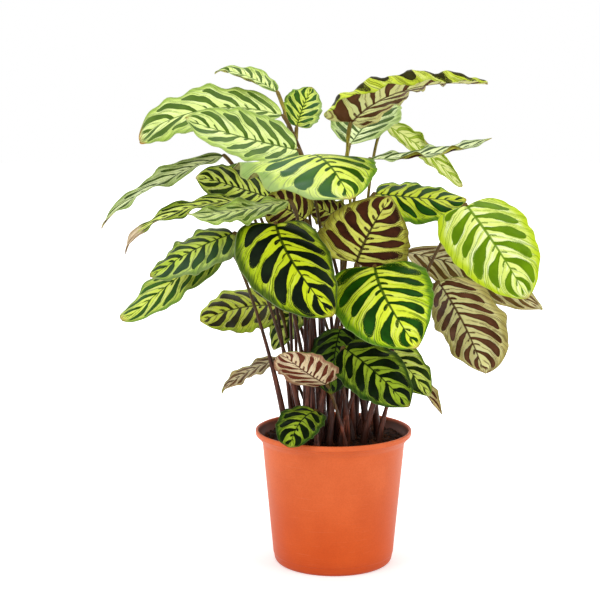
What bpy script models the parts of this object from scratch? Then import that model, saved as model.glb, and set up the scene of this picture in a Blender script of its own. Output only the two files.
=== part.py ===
"""A potted calathea: a plastic nursery pot filled with peat, and a clump of leaves on long stalks.

Sizes are in millimetres, and MM turns them into Blender's metres as each mesh is made.
+Z is up, the origin is the middle of the pot's foot, and the plant faces -Y.
"""

import math
from dataclasses import dataclass

import bmesh
import bpy
import numpy as np

MM = 0.001
GAP = 0.3  # clearance between pieces that touch on the real plant

# Pot: a 17 cm nursery pot
RIM_RADIUS = 85
POT_HEIGHT = 147
RIM_DEPTH = 13  # rim band and the slope below it
RIM_BAND = 6
SHOULDER_RADIUS = 77.5  # outside of the wall, just under the rim
FOOT_RADIUS = 65
WALL = 2.2
FLOOR = 3
FOOT_BAND = 9  # the wall turns in a little below this height
SOFT_EDGE = 1.2  # bevel of the rim and the foot
POT_SIDES = 48
DRAIN_HOLES = 8
DRAIN_RADIUS = 5
DRAIN_CIRCLE = 42  # distance of the drain holes from the middle
DRAIN_SIDES = 12

# Peat
PEAT_BELOW_RIM = 10
PEAT_MOUND = 2  # how much higher the peat stands in the middle

# Clump: the stalks grow from places on a sunflower spiral, which spreads them evenly over the peat
CLUMP_RADIUS = 56
GOLDEN_ANGLE = math.pi * (3 - math.sqrt(5))

# Stalks
STALK_SEGMENTS = 12
STALK_STUMP = 3  # upright stretch at the peat
SHEATH_RADIUS = 4.2
STEM_RADIUS = 1.7
NECK_RADIUS = 2.4  # the swollen joint just under the blade
NECK_LENGTH = 18
NECK_TAPER = 2
STALK_END = 1.2  # radius where the blade begins
PULL_AHEAD, PULL_UP, PULL_STRAIGHT = 0.25, 0.16, 0.14  # what bends a stalk over as it meets its blade
BUNCHING = 1.3  # over 1, a stalk's points lie closer together near its blade, where it bends most

# Blades
BLADE_THICKNESS = 0.8
BLADE_ALONG = 10
BLADE_ACROSS = 4
LOBE_FADE = 8  # how fast the lobes end along the blade
BLADE_END = 1.5  # half the width that a blade keeps at its base and its tip
MIDRIB_STEPS = 80  # steps in which a midrib's bend is added up

# A blade's outline is s ** base * (1 - s) ** tip, with s running from 0 at its base to 1 at its tip.
OVAL = (0.34, 0.52)
ROUND = (0.25, 0.58)
LANCE = (0.60, 0.65)
EGG = (0.38, 0.62)  # widest near its base
PADDLE = (0.60, 0.45)  # widest beyond its middle


@dataclass
class Leaf:
    """One leaf: a blade, which its stalk holds out from the clump."""

    name: str
    base: tuple  # where the blade meets its stalk
    heading: tuple  # where the midrib points at base and tip, degrees anticlockwise from +X
    rise: tuple  # degrees above level at base and tip
    length: float
    width: float
    roll: float  # degrees that the blade is turned about its midrib
    fold: tuple = (0, 0)  # degrees that its right and left halves are lifted at the midrib
    bow: tuple = (0, 0)  # degrees that each half bends by, from midrib to edge
    outline: tuple = OVAL
    twist: float = 0  # more roll at the tip than at the base
    lobes: float = 4  # how far its two sides reach back beside the stalk


# The leaves, in the order that their stalks stand along the spiral, from the middle of the clump outwards.
LEAVES = [
    Leaf("upper_left_front", (-40, 5, 450), (195, 182), (11, 20), 124, 90, -38, (10, 15), (-15, -10)),
    Leaf("left_mid", (-61, 58, 392), (187, 187), (18, 18), 94, 75, -43, (0, 5), (-10, -10)),
    Leaf(
        "front_right", (41, -60, 332), (-88, -28), (-32, -52), 110, 108, 26,
        (0, 0), (-20, -15), ROUND, twist=36, lobes=20,
    ),
    Leaf("right_inner", (47, 48, 400), (-6, 6), (-6, -3), 100, 86, 27, (0, 0), (-20, -20)),
    Leaf(
        "front_left", (-61, -75, 378), (-80, -18), (-35, -50), 126, 101, 30,
        (0, -5), (-20, -40), ROUND, twist=40, lobes=28,
    ),
    Leaf(
        "centre_upright", (23, -35, 334), (-43, -8), (67, 56), 80, 98, -56,
        (0, 0), (-10, -30), ROUND, lobes=10,
    ),
    Leaf(
        "far_left_upper", (-124, 98, 439), (188, 188), (-17, -40), 161, 63, -10,
        (5, 10), (0, 0), LANCE, twist=26,
    ),
    Leaf("top_left", (-63, 96, 511), (148, 152), (30, 5), 87, 39, -20, (8, 8), (-10, -10), LANCE),
    Leaf("low_right_slim", (65, 20, 230), (20, 20), (-45, -60), 98, 36, -11, (10, 10), (0, 0), LANCE),
    Leaf("left_pale", (-49, -39, 399), (192, 190), (-12, -4), 107, 58, -15, (-15, 0), (0, -10), LANCE),
    Leaf("low_right", (10, -55, 246), (-42, -27), (-22, -46), 96, 66, 39, (5, 5), (-20, -20)),
    Leaf("crown_back", (19, 72, 453), (45, 50), (40, 40), 80, 90, 8, (10, 10), (0, 0), LANCE),
    Leaf("left_upper", (-106, -50, 366), (205, 182), (-15, -38), 98, 74, -35, (-12, 10), (-20, -10)),
    Leaf(
        "upper_left_back", (-57, 72, 485), (177, 172), (17, -35), 171, 89, -30,
        (10, 8), (-10, -15), PADDLE,
    ),
    Leaf("low_left_reach", (-58, 20, 222), (188, 188), (-15, -40), 77, 52, 22, (-10, 5), (0, 0), LANCE),
    Leaf("right_slim", (42, 52, 438), (-5, -5), (2, 16), 133, 51, 15, (5, 5), (0, 0), LANCE),
    Leaf("right_under", (82, 42, 336), (-2, -14), (-8, -38), 162, 78, -29, (5, -25), outline=LANCE),
    Leaf(
        "far_left_lower", (-97, 5, 395), (190, 188), (4, -44), 146, 50, -10,
        (5, 5), (0, 0), LANCE, twist=22,
    ),
    Leaf(
        "right_bright", (136, -50, 395), (-58, -42), (-36, -55), 124, 92, 38,
        (0, 0), (-15, -15), ROUND, twist=34, lobes=8,
    ),
    Leaf(
        "crown_front", (-29, -38, 445), (-76, -55), (14, -54), 118, 122, 6,
        (-4, 0), (-15, -20), ROUND, twist=16, lobes=12,
    ),
    Leaf("heart_under", (-31, -10, 377), (177, 194), (37, 5), 50, 66, 54),
    Leaf("top_right", (17, -30, 480), (-44, 15), (40, -12), 158, 92, -20, (0, 18), (10, 0), EGG, 14, 28),
    Leaf("left_inner", (-63, 52, 275), (188, 193), (5, -26), 87, 87, -30, (5, 5), (-30, -10)),
    Leaf("low_front", (-9, -60, 209), (-135, -132), (27, 38), 80, 58, 8, (5, 5)),
    Leaf("right_back", (60, 95, 474), (28, 20), (-25, -48), 124, 47, 60, (0, 20)),
    Leaf("left_lower", (-117, -20, 351), (190, 190), (-32, -42), 134, 56, -37, (0, 5), (-20, -10)),
    Leaf("right_low", (113, -5, 308), (8, 25), (-55, -69), 117, 100, -53, (0, 34), (-20, 0)),
    Leaf("crown_back_left", (-40, 102, 472), (65, 45), (60, 50), 52, 46, 12, (0, 45), (-20, -20)),
    Leaf("rim_small", (-21, -45, 177), (-129, -107), (-5, -51), 64, 48, -13, (5, 5), (-10, -10)),
]


# ---- shapes of a leaf -------------------------------------------------------


def midrib(leaf, stations):
    """Points along the midrib at the given stations, each with its forward, left and upper directions."""
    fine = np.linspace(0, 1, MIDRIB_STEPS + 1)
    heading = np.radians(np.interp(fine, (0, 1), leaf.heading))
    rise = np.radians(np.interp(fine, (0, 1), leaf.rise))
    roll = np.radians(leaf.roll + leaf.twist * (fine - 0.5))[:, None]
    ahead = np.stack([np.cos(heading) * np.cos(rise), np.sin(heading) * np.cos(rise), np.sin(rise)], 1)
    above = np.stack([-np.cos(heading) * np.sin(rise), -np.sin(heading) * np.sin(rise), np.cos(rise)], 1)
    left = np.cross(above, ahead)
    face = above * np.cos(roll) - left * np.sin(roll)
    side = np.cross(face, ahead)
    steps = (ahead[1:] + ahead[:-1]) / 2 * leaf.length / MIDRIB_STEPS
    path = np.array(leaf.base) + np.concatenate([np.zeros((1, 3)), np.cumsum(steps, 0)])

    def at(values):
        return np.stack([np.interp(stations, fine, values[:, axis]) for axis in range(3)], 1)

    return at(path), at(ahead), at(side), at(face)


def half_width(leaf, station):
    """Half of the blade's width at one station, never under BLADE_END."""
    start, end = leaf.outline
    widest = start / (start + end)
    share = station**start * (1 - station) ** end / (widest**start * (1 - widest) ** end)
    return max(BLADE_END, leaf.width / 2 * share)


def section(fold, bow, across):
    """How far out and how far up a bent half-blade is at a share of the way across, for a width of 1."""
    fold, bow = math.radians(fold), math.radians(bow)
    if abs(bow) < 1e-6:
        return across * math.cos(fold), across * math.sin(fold)
    end = fold + bow * across
    return (math.sin(end) - math.sin(fold)) / bow, (math.cos(fold) - math.cos(end)) / bow


def blade_points(leaf, along, across):
    """The sheet of a blade as rows of points, base to tip, each row from its right edge to its left edge."""
    stations = (1 - np.cos(np.linspace(0, math.pi, along + 1))) / 2
    path, ahead, side, face = midrib(leaf, stations)
    rows = []
    for row, station in enumerate(stations):
        reach = half_width(leaf, station)
        back = leaf.lobes * (1 - station) ** LOBE_FADE * reach / (leaf.width / 2)
        for share in np.linspace(-1, 1, across + 1):
            half = int(share > 0)
            out, up = section(leaf.fold[half], leaf.bow[half], abs(share))
            sideways = reach * (math.copysign(out, share) * side[row] + up * face[row])
            rows.append(path[row] - back * share**2 * ahead[row] + sideways)
    return np.array(rows)


def peat_height(distance):
    """Height of the peat's surface, which is a shallow mound."""
    fall = math.cos(math.pi / 2 * min(1, distance / SHOULDER_RADIUS))
    return POT_HEIGHT - PEAT_BELOW_RIM + PEAT_MOUND * fall


def stalk_root(place):
    """Where the stalk at one place of the clump comes out of the peat."""
    distance = CLUMP_RADIUS * math.sqrt((place + 0.5) / len(LEAVES))
    angle = GOLDEN_ANGLE * place
    return np.array([distance * math.cos(angle), distance * math.sin(angle), peat_height(distance) + GAP])


def stalk_path(leaf, root, segments=STALK_SEGMENTS):
    """A stalk rises out of the peat, fans out, and bends over under its blade."""
    up = np.array([0, 0, 1])
    foot = root + STALK_STUMP * up
    path, ahead, _, _ = midrib(leaf, np.array([0.0]))
    end = path[0] - (GAP + STALK_END) * ahead[0]
    reach = np.linalg.norm(end - foot)
    straight = (end - foot) / reach
    leaving = reach * (straight + up) / 2
    arriving = reach * (PULL_AHEAD * ahead[0] + PULL_UP * up + PULL_STRAIGHT * straight)
    t = 1 - (1 - np.linspace(0, 1, segments + 1)[:, None]) ** BUNCHING
    curve = (
        (2 * t**3 - 3 * t**2 + 1) * foot
        + (t**3 - 2 * t**2 + t) * leaving
        + (3 * t**2 - 2 * t**3) * end
        + (t**3 - t**2) * arriving
    )
    return np.concatenate([[root], curve])


def stalk_radii(path):
    """The sheath at the foot narrows to a thin stem, with the swollen neck just under the blade."""
    lengths = np.concatenate([[0], np.cumsum(np.linalg.norm(np.diff(path, axis=0), axis=1))])
    whole = lengths[-1]
    neck = whole - min(NECK_LENGTH, whole / 4)
    profile = [
        (0, SHEATH_RADIUS),
        (0.22 * whole, 0.8 * SHEATH_RADIUS),
        (0.45 * whole, 1.2 * STEM_RADIUS),
        (neck - 0.04 * whole, STEM_RADIUS),
        (neck, NECK_RADIUS),
        (whole - NECK_TAPER, NECK_RADIUS),
        (whole, STALK_END),
    ]
    marks, radii = zip(*profile)
    return np.interp(lengths, marks, radii)


# ---- Blender objects --------------------------------------------------------


def clear_scene():
    for obj in list(bpy.data.objects):
        bpy.data.objects.remove(obj)


def material(name, colour, roughness):
    made = bpy.data.materials.new(name)
    made.use_nodes = True
    shader = made.node_tree.nodes["Principled BSDF"]
    shader.inputs["Base Color"].default_value = (*colour, 1)
    shader.inputs["Roughness"].default_value = roughness
    shader.inputs["Metallic"].default_value = 0
    return made


def add_object(name, data, finish, parent):
    obj = bpy.data.objects.new(name, data)
    bpy.context.scene.collection.objects.link(obj)
    obj.data.materials.append(finish)
    obj.parent = parent
    return obj


def add_blade(leaf, finish, plant):
    """A grid laid along the leaf's midrib, thickened evenly on both faces."""
    bm = bmesh.new()
    bmesh.ops.create_grid(bm, x_segments=BLADE_ACROSS, y_segments=BLADE_ALONG, size=1)
    points = blade_points(leaf, BLADE_ALONG, BLADE_ACROSS)
    bm.verts.ensure_lookup_table()
    for vert in bm.verts:
        column = round((vert.co.x + 1) / 2 * BLADE_ACROSS)
        row = round((vert.co.y + 1) / 2 * BLADE_ALONG)
        vert.co = points[row * (BLADE_ACROSS + 1) + (BLADE_ACROSS - column)] * MM
    bmesh.ops.recalc_face_normals(bm, faces=bm.faces)
    mesh = bpy.data.meshes.new("blade_" + leaf.name)
    bm.to_mesh(mesh)
    bm.free()
    mesh.shade_smooth()
    blade = add_object("blade_" + leaf.name, mesh, finish, plant)
    wall = blade.modifiers.new("Thickness", "SOLIDIFY")
    wall.thickness = BLADE_THICKNESS * MM
    wall.offset = 0
    return blade


def add_stalk(leaf, root, finish, plant):
    """A round curve whose radius follows stalk_radii."""
    path = stalk_path(leaf, root)
    curve = bpy.data.curves.new("stalk_" + leaf.name, "CURVE")
    curve.dimensions = "3D"
    curve.bevel_depth = MM
    curve.bevel_resolution = 1
    curve.use_fill_caps = True
    spline = curve.splines.new("POLY")
    spline.points.add(len(path) - 1)
    for point, place, radius in zip(spline.points, path, stalk_radii(path)):
        point.co = (*(place * MM), 1)
        point.radius = radius
    spline.use_smooth = True
    return add_object("stalk_" + leaf.name, curve, finish, plant)


def turned(name, profile, sides, finish, parent):
    """A solid of revolution: profile is a closed run of (radius, height), outside going up."""
    bm = bmesh.new()
    rings = [bm.verts.new((radius * MM, 0, height * MM)) for radius, height in profile]
    for first, second in zip(rings, rings[1:]):
        bm.edges.new((first, second))
    bmesh.ops.spin(
        bm,
        geom=bm.verts[:] + bm.edges[:],
        axis=(0, 0, 1),
        cent=(0, 0, 0),
        angle=math.tau,
        steps=sides,
        use_merge=True,
    )
    bmesh.ops.remove_doubles(bm, verts=bm.verts, dist=1e-6)
    bmesh.ops.recalc_face_normals(bm, faces=bm.faces)
    mesh = bpy.data.meshes.new(name)
    bm.to_mesh(mesh)
    bm.free()
    mesh.shade_smooth()
    mesh.set_sharp_from_angle(angle=math.radians(40))
    return add_object(name, mesh, finish, parent)


def wall_radius(height):
    """Outside of the pot's wall below the rim, which flares evenly from the foot."""
    return FOOT_RADIUS + (SHOULDER_RADIUS - FOOT_RADIUS) * height / (POT_HEIGHT - RIM_DEPTH)


def add_drill(number):
    """A hidden cutter for one drain hole, long enough to pass through the floor."""
    drill = bmesh.new()
    radius = DRAIN_RADIUS * MM
    depth = 4 * FLOOR * MM
    bmesh.ops.create_cone(
        drill, cap_ends=True, segments=DRAIN_SIDES, radius1=radius, radius2=radius, depth=depth
    )
    mesh = bpy.data.meshes.new(f"drill_{number}")
    drill.to_mesh(mesh)
    drill.free()
    cutter = bpy.data.objects.new(f"drill_{number}", mesh)
    bpy.context.scene.collection.objects.link(cutter)
    angle = math.tau * (number + 0.5) / DRAIN_HOLES
    cutter.location = (DRAIN_CIRCLE * math.cos(angle) * MM, DRAIN_CIRCLE * math.sin(angle) * MM, 0)
    cutter.hide_render = True
    cutter.display_type = "WIRE"
    return cutter


def add_pot(finish, parent):
    """A thin tapered wall with a stepped rim above it, and a flat floor with drain holes."""
    shoulder = POT_HEIGHT - RIM_DEPTH
    outside = [
        (0, 0),
        (wall_radius(0) - 3 * SOFT_EDGE, 0),
        (wall_radius(0) - SOFT_EDGE, 2 * SOFT_EDGE),
        (wall_radius(FOOT_BAND), FOOT_BAND),
        (SHOULDER_RADIUS, shoulder),
        (RIM_RADIUS, POT_HEIGHT - RIM_BAND),
        (RIM_RADIUS, POT_HEIGHT - SOFT_EDGE),
        (RIM_RADIUS - SOFT_EDGE, POT_HEIGHT),
    ]
    inside = [
        (RIM_RADIUS - SOFT_EDGE - WALL, POT_HEIGHT),
        (RIM_RADIUS - 2 * WALL, POT_HEIGHT - RIM_BAND),
        (SHOULDER_RADIUS - WALL, shoulder - WALL),
        (wall_radius(FOOT_BAND) - WALL, FOOT_BAND),
        (wall_radius(0) - 3 * SOFT_EDGE - WALL, FLOOR),
        (0, FLOOR),
    ]
    pot = turned("pot", outside + inside, POT_SIDES, finish, parent)
    for number in range(DRAIN_HOLES):
        hole = pot.modifiers.new(f"Drain {number}", "BOOLEAN")
        hole.operation = "DIFFERENCE"
        hole.solver = "EXACT"
        hole.object = add_drill(number)
    return pot


def add_peat(finish, parent):
    """The peat fills the pot to just under its rim, clear of the wall and floor."""
    shoulder = POT_HEIGHT - RIM_DEPTH
    inner = SHOULDER_RADIUS - WALL - 2 * GAP
    side = [
        (0, FLOOR + GAP),
        (wall_radius(0) - 4 * SOFT_EDGE - WALL, FLOOR + GAP),
        (wall_radius(FOOT_BAND) - WALL - 4 * GAP, FOOT_BAND + WALL),
        (inner, shoulder - WALL - GAP),
        (inner + 2 * GAP, POT_HEIGHT - PEAT_BELOW_RIM),
    ]
    mound = [(inner * share, peat_height(inner * share)) for share in (0.75, 0.5, 0.25, 0)]
    return turned("peat", side + mound, POT_SIDES, finish, parent)


def main():
    clear_scene()
    plant = bpy.data.objects.new("calathea", None)
    bpy.context.scene.collection.objects.link(plant)
    add_pot(material("terracotta_plastic", (0.72, 0.16, 0.05), 0.45), plant)
    add_peat(material("peat", (0.035, 0.02, 0.012), 0.95), plant)
    green = material("leaf_green", (0.25, 0.42, 0.05), 0.4)
    maroon = material("stalk_maroon", (0.13, 0.05, 0.04), 0.5)
    for place, leaf in enumerate(LEAVES):
        add_blade(leaf, green, plant)
        add_stalk(leaf, stalk_root(place), maroon, plant)


if __name__ == "__main__":
    main()
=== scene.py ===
# %% [markdown]
# # A potted calathea
# A calathea is a house plant grown for its leaves. Each one is pale green with dark blotches laid along its
# side veins, and maroon underneath. This one stands in a plastic nursery pot filled with peat.
# The frame gives the plain solids: a pot, a body of peat, and one blade and one stalk for each leaf.
# This lesson dresses them. Every leaf is laid out on the same plan as its solid, on a much finer grid.

import math
import random
from dataclasses import dataclass

import bmesh
import bpy
import numpy as np
from mathutils import Matrix, Vector, noise


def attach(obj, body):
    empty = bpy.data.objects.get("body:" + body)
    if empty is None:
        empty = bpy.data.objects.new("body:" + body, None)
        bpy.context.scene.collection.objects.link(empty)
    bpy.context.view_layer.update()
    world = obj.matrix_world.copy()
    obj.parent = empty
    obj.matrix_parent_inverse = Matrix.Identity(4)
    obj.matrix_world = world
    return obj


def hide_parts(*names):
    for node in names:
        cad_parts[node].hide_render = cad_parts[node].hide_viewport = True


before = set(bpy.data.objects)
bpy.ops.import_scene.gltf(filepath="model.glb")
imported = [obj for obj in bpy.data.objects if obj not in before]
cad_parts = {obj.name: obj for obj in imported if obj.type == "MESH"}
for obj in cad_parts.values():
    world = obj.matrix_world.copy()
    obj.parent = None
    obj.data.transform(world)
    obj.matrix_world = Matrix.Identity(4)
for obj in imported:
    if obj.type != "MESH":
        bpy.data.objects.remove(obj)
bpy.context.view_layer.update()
bpy.ops.object.select_all(action="DESELECT")
MM = 0.001


# %% [markdown]
# ## The camera
# The plant is seen from the front, from about as high as its top leaves, looking a little down. A long lens
# keeps the leaves at the back nearly as large as those in front.

# %% Camera
CAMERA_PLACE = (-0.0365, -1.6, 0.522)
CAMERA_TILT = 81.7  # degrees up from looking straight down
LENS, SENSOR = 90, 36
scene = bpy.context.scene
bpy.ops.object.camera_add(location=CAMERA_PLACE, rotation=(math.radians(CAMERA_TILT), 0, 0))
camera = bpy.context.object
camera.name = "studio_camera"
camera.data.lens = LENS
camera.data.sensor_width = SENSOR
scene.camera = camera
print("camera at", [round(value, 3) for value in camera.location])

# %% [markdown]
# ## Small helpers for materials
# A material is a tree of nodes. Most of these helpers add one node and hand back its output, so that a
# pattern can be written as a short list of steps. The studio below is the first to use them.

# %% Helpers for numbers
def put(tree, value, socket):
    """Links an output to a socket, or sets the socket to a plain value."""
    if isinstance(value, bpy.types.NodeSocket):
        tree.links.new(value, socket)
    else:
        socket.default_value = value


def calc(tree, operation, *values):
    """One step of arithmetic."""
    node = tree.nodes.new("ShaderNodeMath")
    node.operation = operation
    for value, socket in zip(values, node.inputs):
        put(tree, value, socket)
    return node.outputs[0]


def times(tree, first, second):
    """Two values multiplied."""
    return calc(tree, "MULTIPLY", first, second)


def times_plus(tree, first, second, added):
    """Two values multiplied, and a third added."""
    return calc(tree, "MULTIPLY_ADD", first, second, added)


def fade(tree, value, start, end, low=0.0, high=1.0):
    """low up to start, high from end, and a soft step between. It runs backwards when end is the smaller."""
    if start > end:
        start, end, low, high = end, start, high, low
    node = tree.nodes.new("ShaderNodeMapRange")
    node.interpolation_type = "SMOOTHSTEP"
    put(tree, value, node.inputs["Value"])
    for name, setting in (("From Min", start), ("From Max", end), ("To Min", low), ("To Max", high)):
        node.inputs[name].default_value = setting
    return node.outputs[0]


# %% Helpers for places
def object_place(tree):
    """Where each point lies in the plant's own frame, in metres."""
    return tree.nodes.new("ShaderNodeTexCoord").outputs["Object"]


def stretched(tree, place, scale):
    """The same places, scaled differently along each axis."""
    node = tree.nodes.new("ShaderNodeMapping")
    node.inputs["Scale"].default_value = scale
    put(tree, place, node.inputs["Vector"])
    return node.outputs[0]


def spot(tree, x, y, z):
    """Three numbers joined into one place."""
    node = tree.nodes.new("ShaderNodeCombineXYZ")
    for value, socket in zip((x, y, z), node.inputs):
        put(tree, value, socket)
    return node.outputs[0]


def cloud(tree, place, scale, detail=3.0):
    """Soft random values between 0 and 1."""
    node = tree.nodes.new("ShaderNodeTexNoise")
    node.inputs["Scale"].default_value = scale
    node.inputs["Detail"].default_value = detail
    put(tree, place, node.inputs["Vector"])
    return node.outputs["Fac"]


def read(tree, name):
    """A number stored on the mesh's points."""
    node = tree.nodes.new("ShaderNodeAttribute")
    node.attribute_type = "GEOMETRY"
    node.attribute_name = name
    return node.outputs["Fac"]


# %% Helpers for colours and relief
def srgb(red, green, blue):
    """A colour as it is seen on a screen, 0 to 255, turned into the linear values that Blender works in."""
    parts = (red, green, blue)
    linear = [((c / 255 + 0.055) / 1.055) ** 2.4 if c > 10 else c / 255 / 12.92 for c in parts]
    return (*linear, 1)


def mix(tree, factor, first, second):
    """The first colour where the factor is 0, and the second where it is 1."""
    node = tree.nodes.new("ShaderNodeMix")
    node.data_type = "RGBA"
    put(tree, factor, node.inputs[0])
    put(tree, first, node.inputs[6])
    put(tree, second, node.inputs[7])
    return node.outputs[2]


def tint(tree, colour, mask, strength, paint):
    """Lays paint over a colour where the mask says so."""
    return mix(tree, times(tree, mask, strength), colour, paint)


def emboss(tree, shader, height, strength, depth=0.3):
    """Lets a value stand out of the surface as fine relief. The depth is in millimetres."""
    bump = tree.nodes.new("ShaderNodeBump")
    bump.inputs["Strength"].default_value = strength
    bump.inputs["Distance"].default_value = depth * MM
    put(tree, height, bump.inputs["Height"])
    put(tree, bump.outputs[0], shader.inputs["Normal"])


def new_finish(name):
    """A new material, with its tree and its Principled shader."""
    finish = bpy.data.materials.new(name)
    finish.use_nodes = True
    return finish, finish.node_tree, finish.node_tree.nodes["Principled BSDF"]


print("a middle grey is", round(srgb(128, 128, 128)[0], 3), "as a linear value")

# %% [markdown]
# ## The studio
# The plant stands on a pale floor in front of a white background. The white belongs to what the camera sees,
# and not to the light: the world gives a plain soft light, and turns pure white only for rays that come
# straight from the camera, from a glossy surface or through glass. Three large lamps add a little shape.

# %% White for the camera, plain light for the plant
def seen_white(tree):
    """1 for rays from the camera, from gloss and through glass, and 0 for light that falls on the plant."""
    path = tree.nodes.new("ShaderNodeLightPath").outputs
    seen = calc(tree, "MAXIMUM", path["Is Camera Ray"], path["Is Glossy Ray"])
    return calc(tree, "MAXIMUM", seen, path["Is Transmission Ray"])


def background(tree, strength):
    """A plain white background of the given strength."""
    node = tree.nodes.new("ShaderNodeBackground")
    node.inputs["Color"].default_value = (1, 1, 1, 1)
    node.inputs["Strength"].default_value = strength
    return node.outputs[0]


WORLD_LIGHT = 0.74
PURE_WHITE = 1
world = bpy.data.worlds.new("studio_world")
scene.world = world
world.use_nodes = True
tree = world.node_tree
tree.nodes.clear()
choose = tree.nodes.new("ShaderNodeMixShader")
output = tree.nodes.new("ShaderNodeOutputWorld")
put(tree, seen_white(tree), choose.inputs[0])
put(tree, background(tree, WORLD_LIGHT), choose.inputs[1])
put(tree, background(tree, PURE_WHITE), choose.inputs[2])
put(tree, choose.outputs[0], output.inputs["Surface"])
print("world nodes:", len(tree.nodes))

# %% Lamps
PLANT_MIDDLE = (0, 0, 0.3)


def add_softbox(name, place, size, watts):
    """A square lamp of the given size that points at the middle of the plant."""
    bpy.ops.object.light_add(type="AREA", location=place)
    lamp = bpy.context.object
    lamp.name = name
    lamp.data.size = size
    lamp.data.energy = watts
    towards = Vector(PLANT_MIDDLE) - Vector(place)
    lamp.rotation_euler = towards.to_track_quat("-Z", "Y").to_euler()


add_softbox("softbox_left", (-1.5, -1.3, 1.3), 1.1, 13)
add_softbox("softbox_right", (1.5, -1.0, 1.0), 1.1, 9)
add_softbox("softbox_top", (0.1, 0.5, 2.0), 1.4, 11)
scene.view_settings.view_transform = "Standard"
print("lamps:", [lamp.name for lamp in bpy.data.lights])

# %% [markdown]
# The floor is matt and pale grey. For the rays that see white it also glows: a little beside the pot, so
# that the shadow there stays, and fully further off, where it meets the background without a line.

# %% Floor
FLOOR_SIZE = 12
FLOOR_BACK = 2  # how far the middle of the floor lies behind the pot
SHADOW_ENDS, WHITE_FROM = 0.15, 0.9  # metres from the middle of the pot
GLOW_NEAR, GLOW_FAR = 0.42, 1.0
bpy.ops.mesh.primitive_plane_add(size=FLOOR_SIZE, location=(0, FLOOR_BACK, 0))
floor = bpy.context.object
floor.name = "studio_floor"
bpy.ops.object.transform_apply(location=True)
pale, tree, surface = new_finish("pale_floor")
surface.inputs["Base Color"].default_value = (0.86, 0.86, 0.86, 1)
surface.inputs["Roughness"].default_value = 0.9
surface.inputs["Specular IOR Level"].default_value = 0
surface.inputs["Emission Color"].default_value = (1, 1, 1, 1)
distance = tree.nodes.new("ShaderNodeVectorMath")
distance.operation = "LENGTH"
put(tree, object_place(tree), distance.inputs[0])
glow = fade(tree, distance.outputs["Value"], SHADOW_ENDS, WHITE_FROM, GLOW_NEAR, GLOW_FAR)
put(tree, times(tree, seen_white(tree), glow), surface.inputs["Emission Strength"])
floor.data.materials.append(pale)
print("floor nodes:", len(tree.nodes))

# %% [markdown]
# ## The plan of the plant
# Each leaf has a blade and a stalk. A blade is described by where it meets its stalk, where its midrib
# points at its base and at its tip, its length and width, and how its two halves are lifted and bent. These
# are the same values, in millimetres, that the solids in the frame were built from, so each leaf grows in
# the same place. The order of the list is the order of the stalks in the clump, from its middle outwards.

# %% The leaf plan
# Each outline has one number for the base and one for the tip: the smaller it is, the blunter that end.
OVAL = (0.34, 0.52)
ROUND = (0.25, 0.58)
LANCE = (0.60, 0.65)
EGG = (0.38, 0.62)  # widest near its base
PADDLE = (0.60, 0.45)  # widest beyond its middle


@dataclass
class Leaf:
    """One leaf of the plan, in millimetres and degrees."""

    name: str
    base: tuple  # where the blade meets its stalk
    heading: tuple  # which way the midrib runs at its base and at its tip, seen from above
    rise: tuple  # how steeply it climbs there, or falls if negative
    length: float
    width: float
    roll: float  # how far the upper face leans over to the leaf's right
    fold: tuple = (0, 0)  # how far the right and left halves are lifted
    bow: tuple = (0, 0)  # how far each half bends up on its way to the edge, or down if negative
    outline: tuple = OVAL
    twist: float = 0  # how much further the tip leans over than the base
    lobes: float = 4  # how far the round lobes reach back past the stalk


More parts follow.
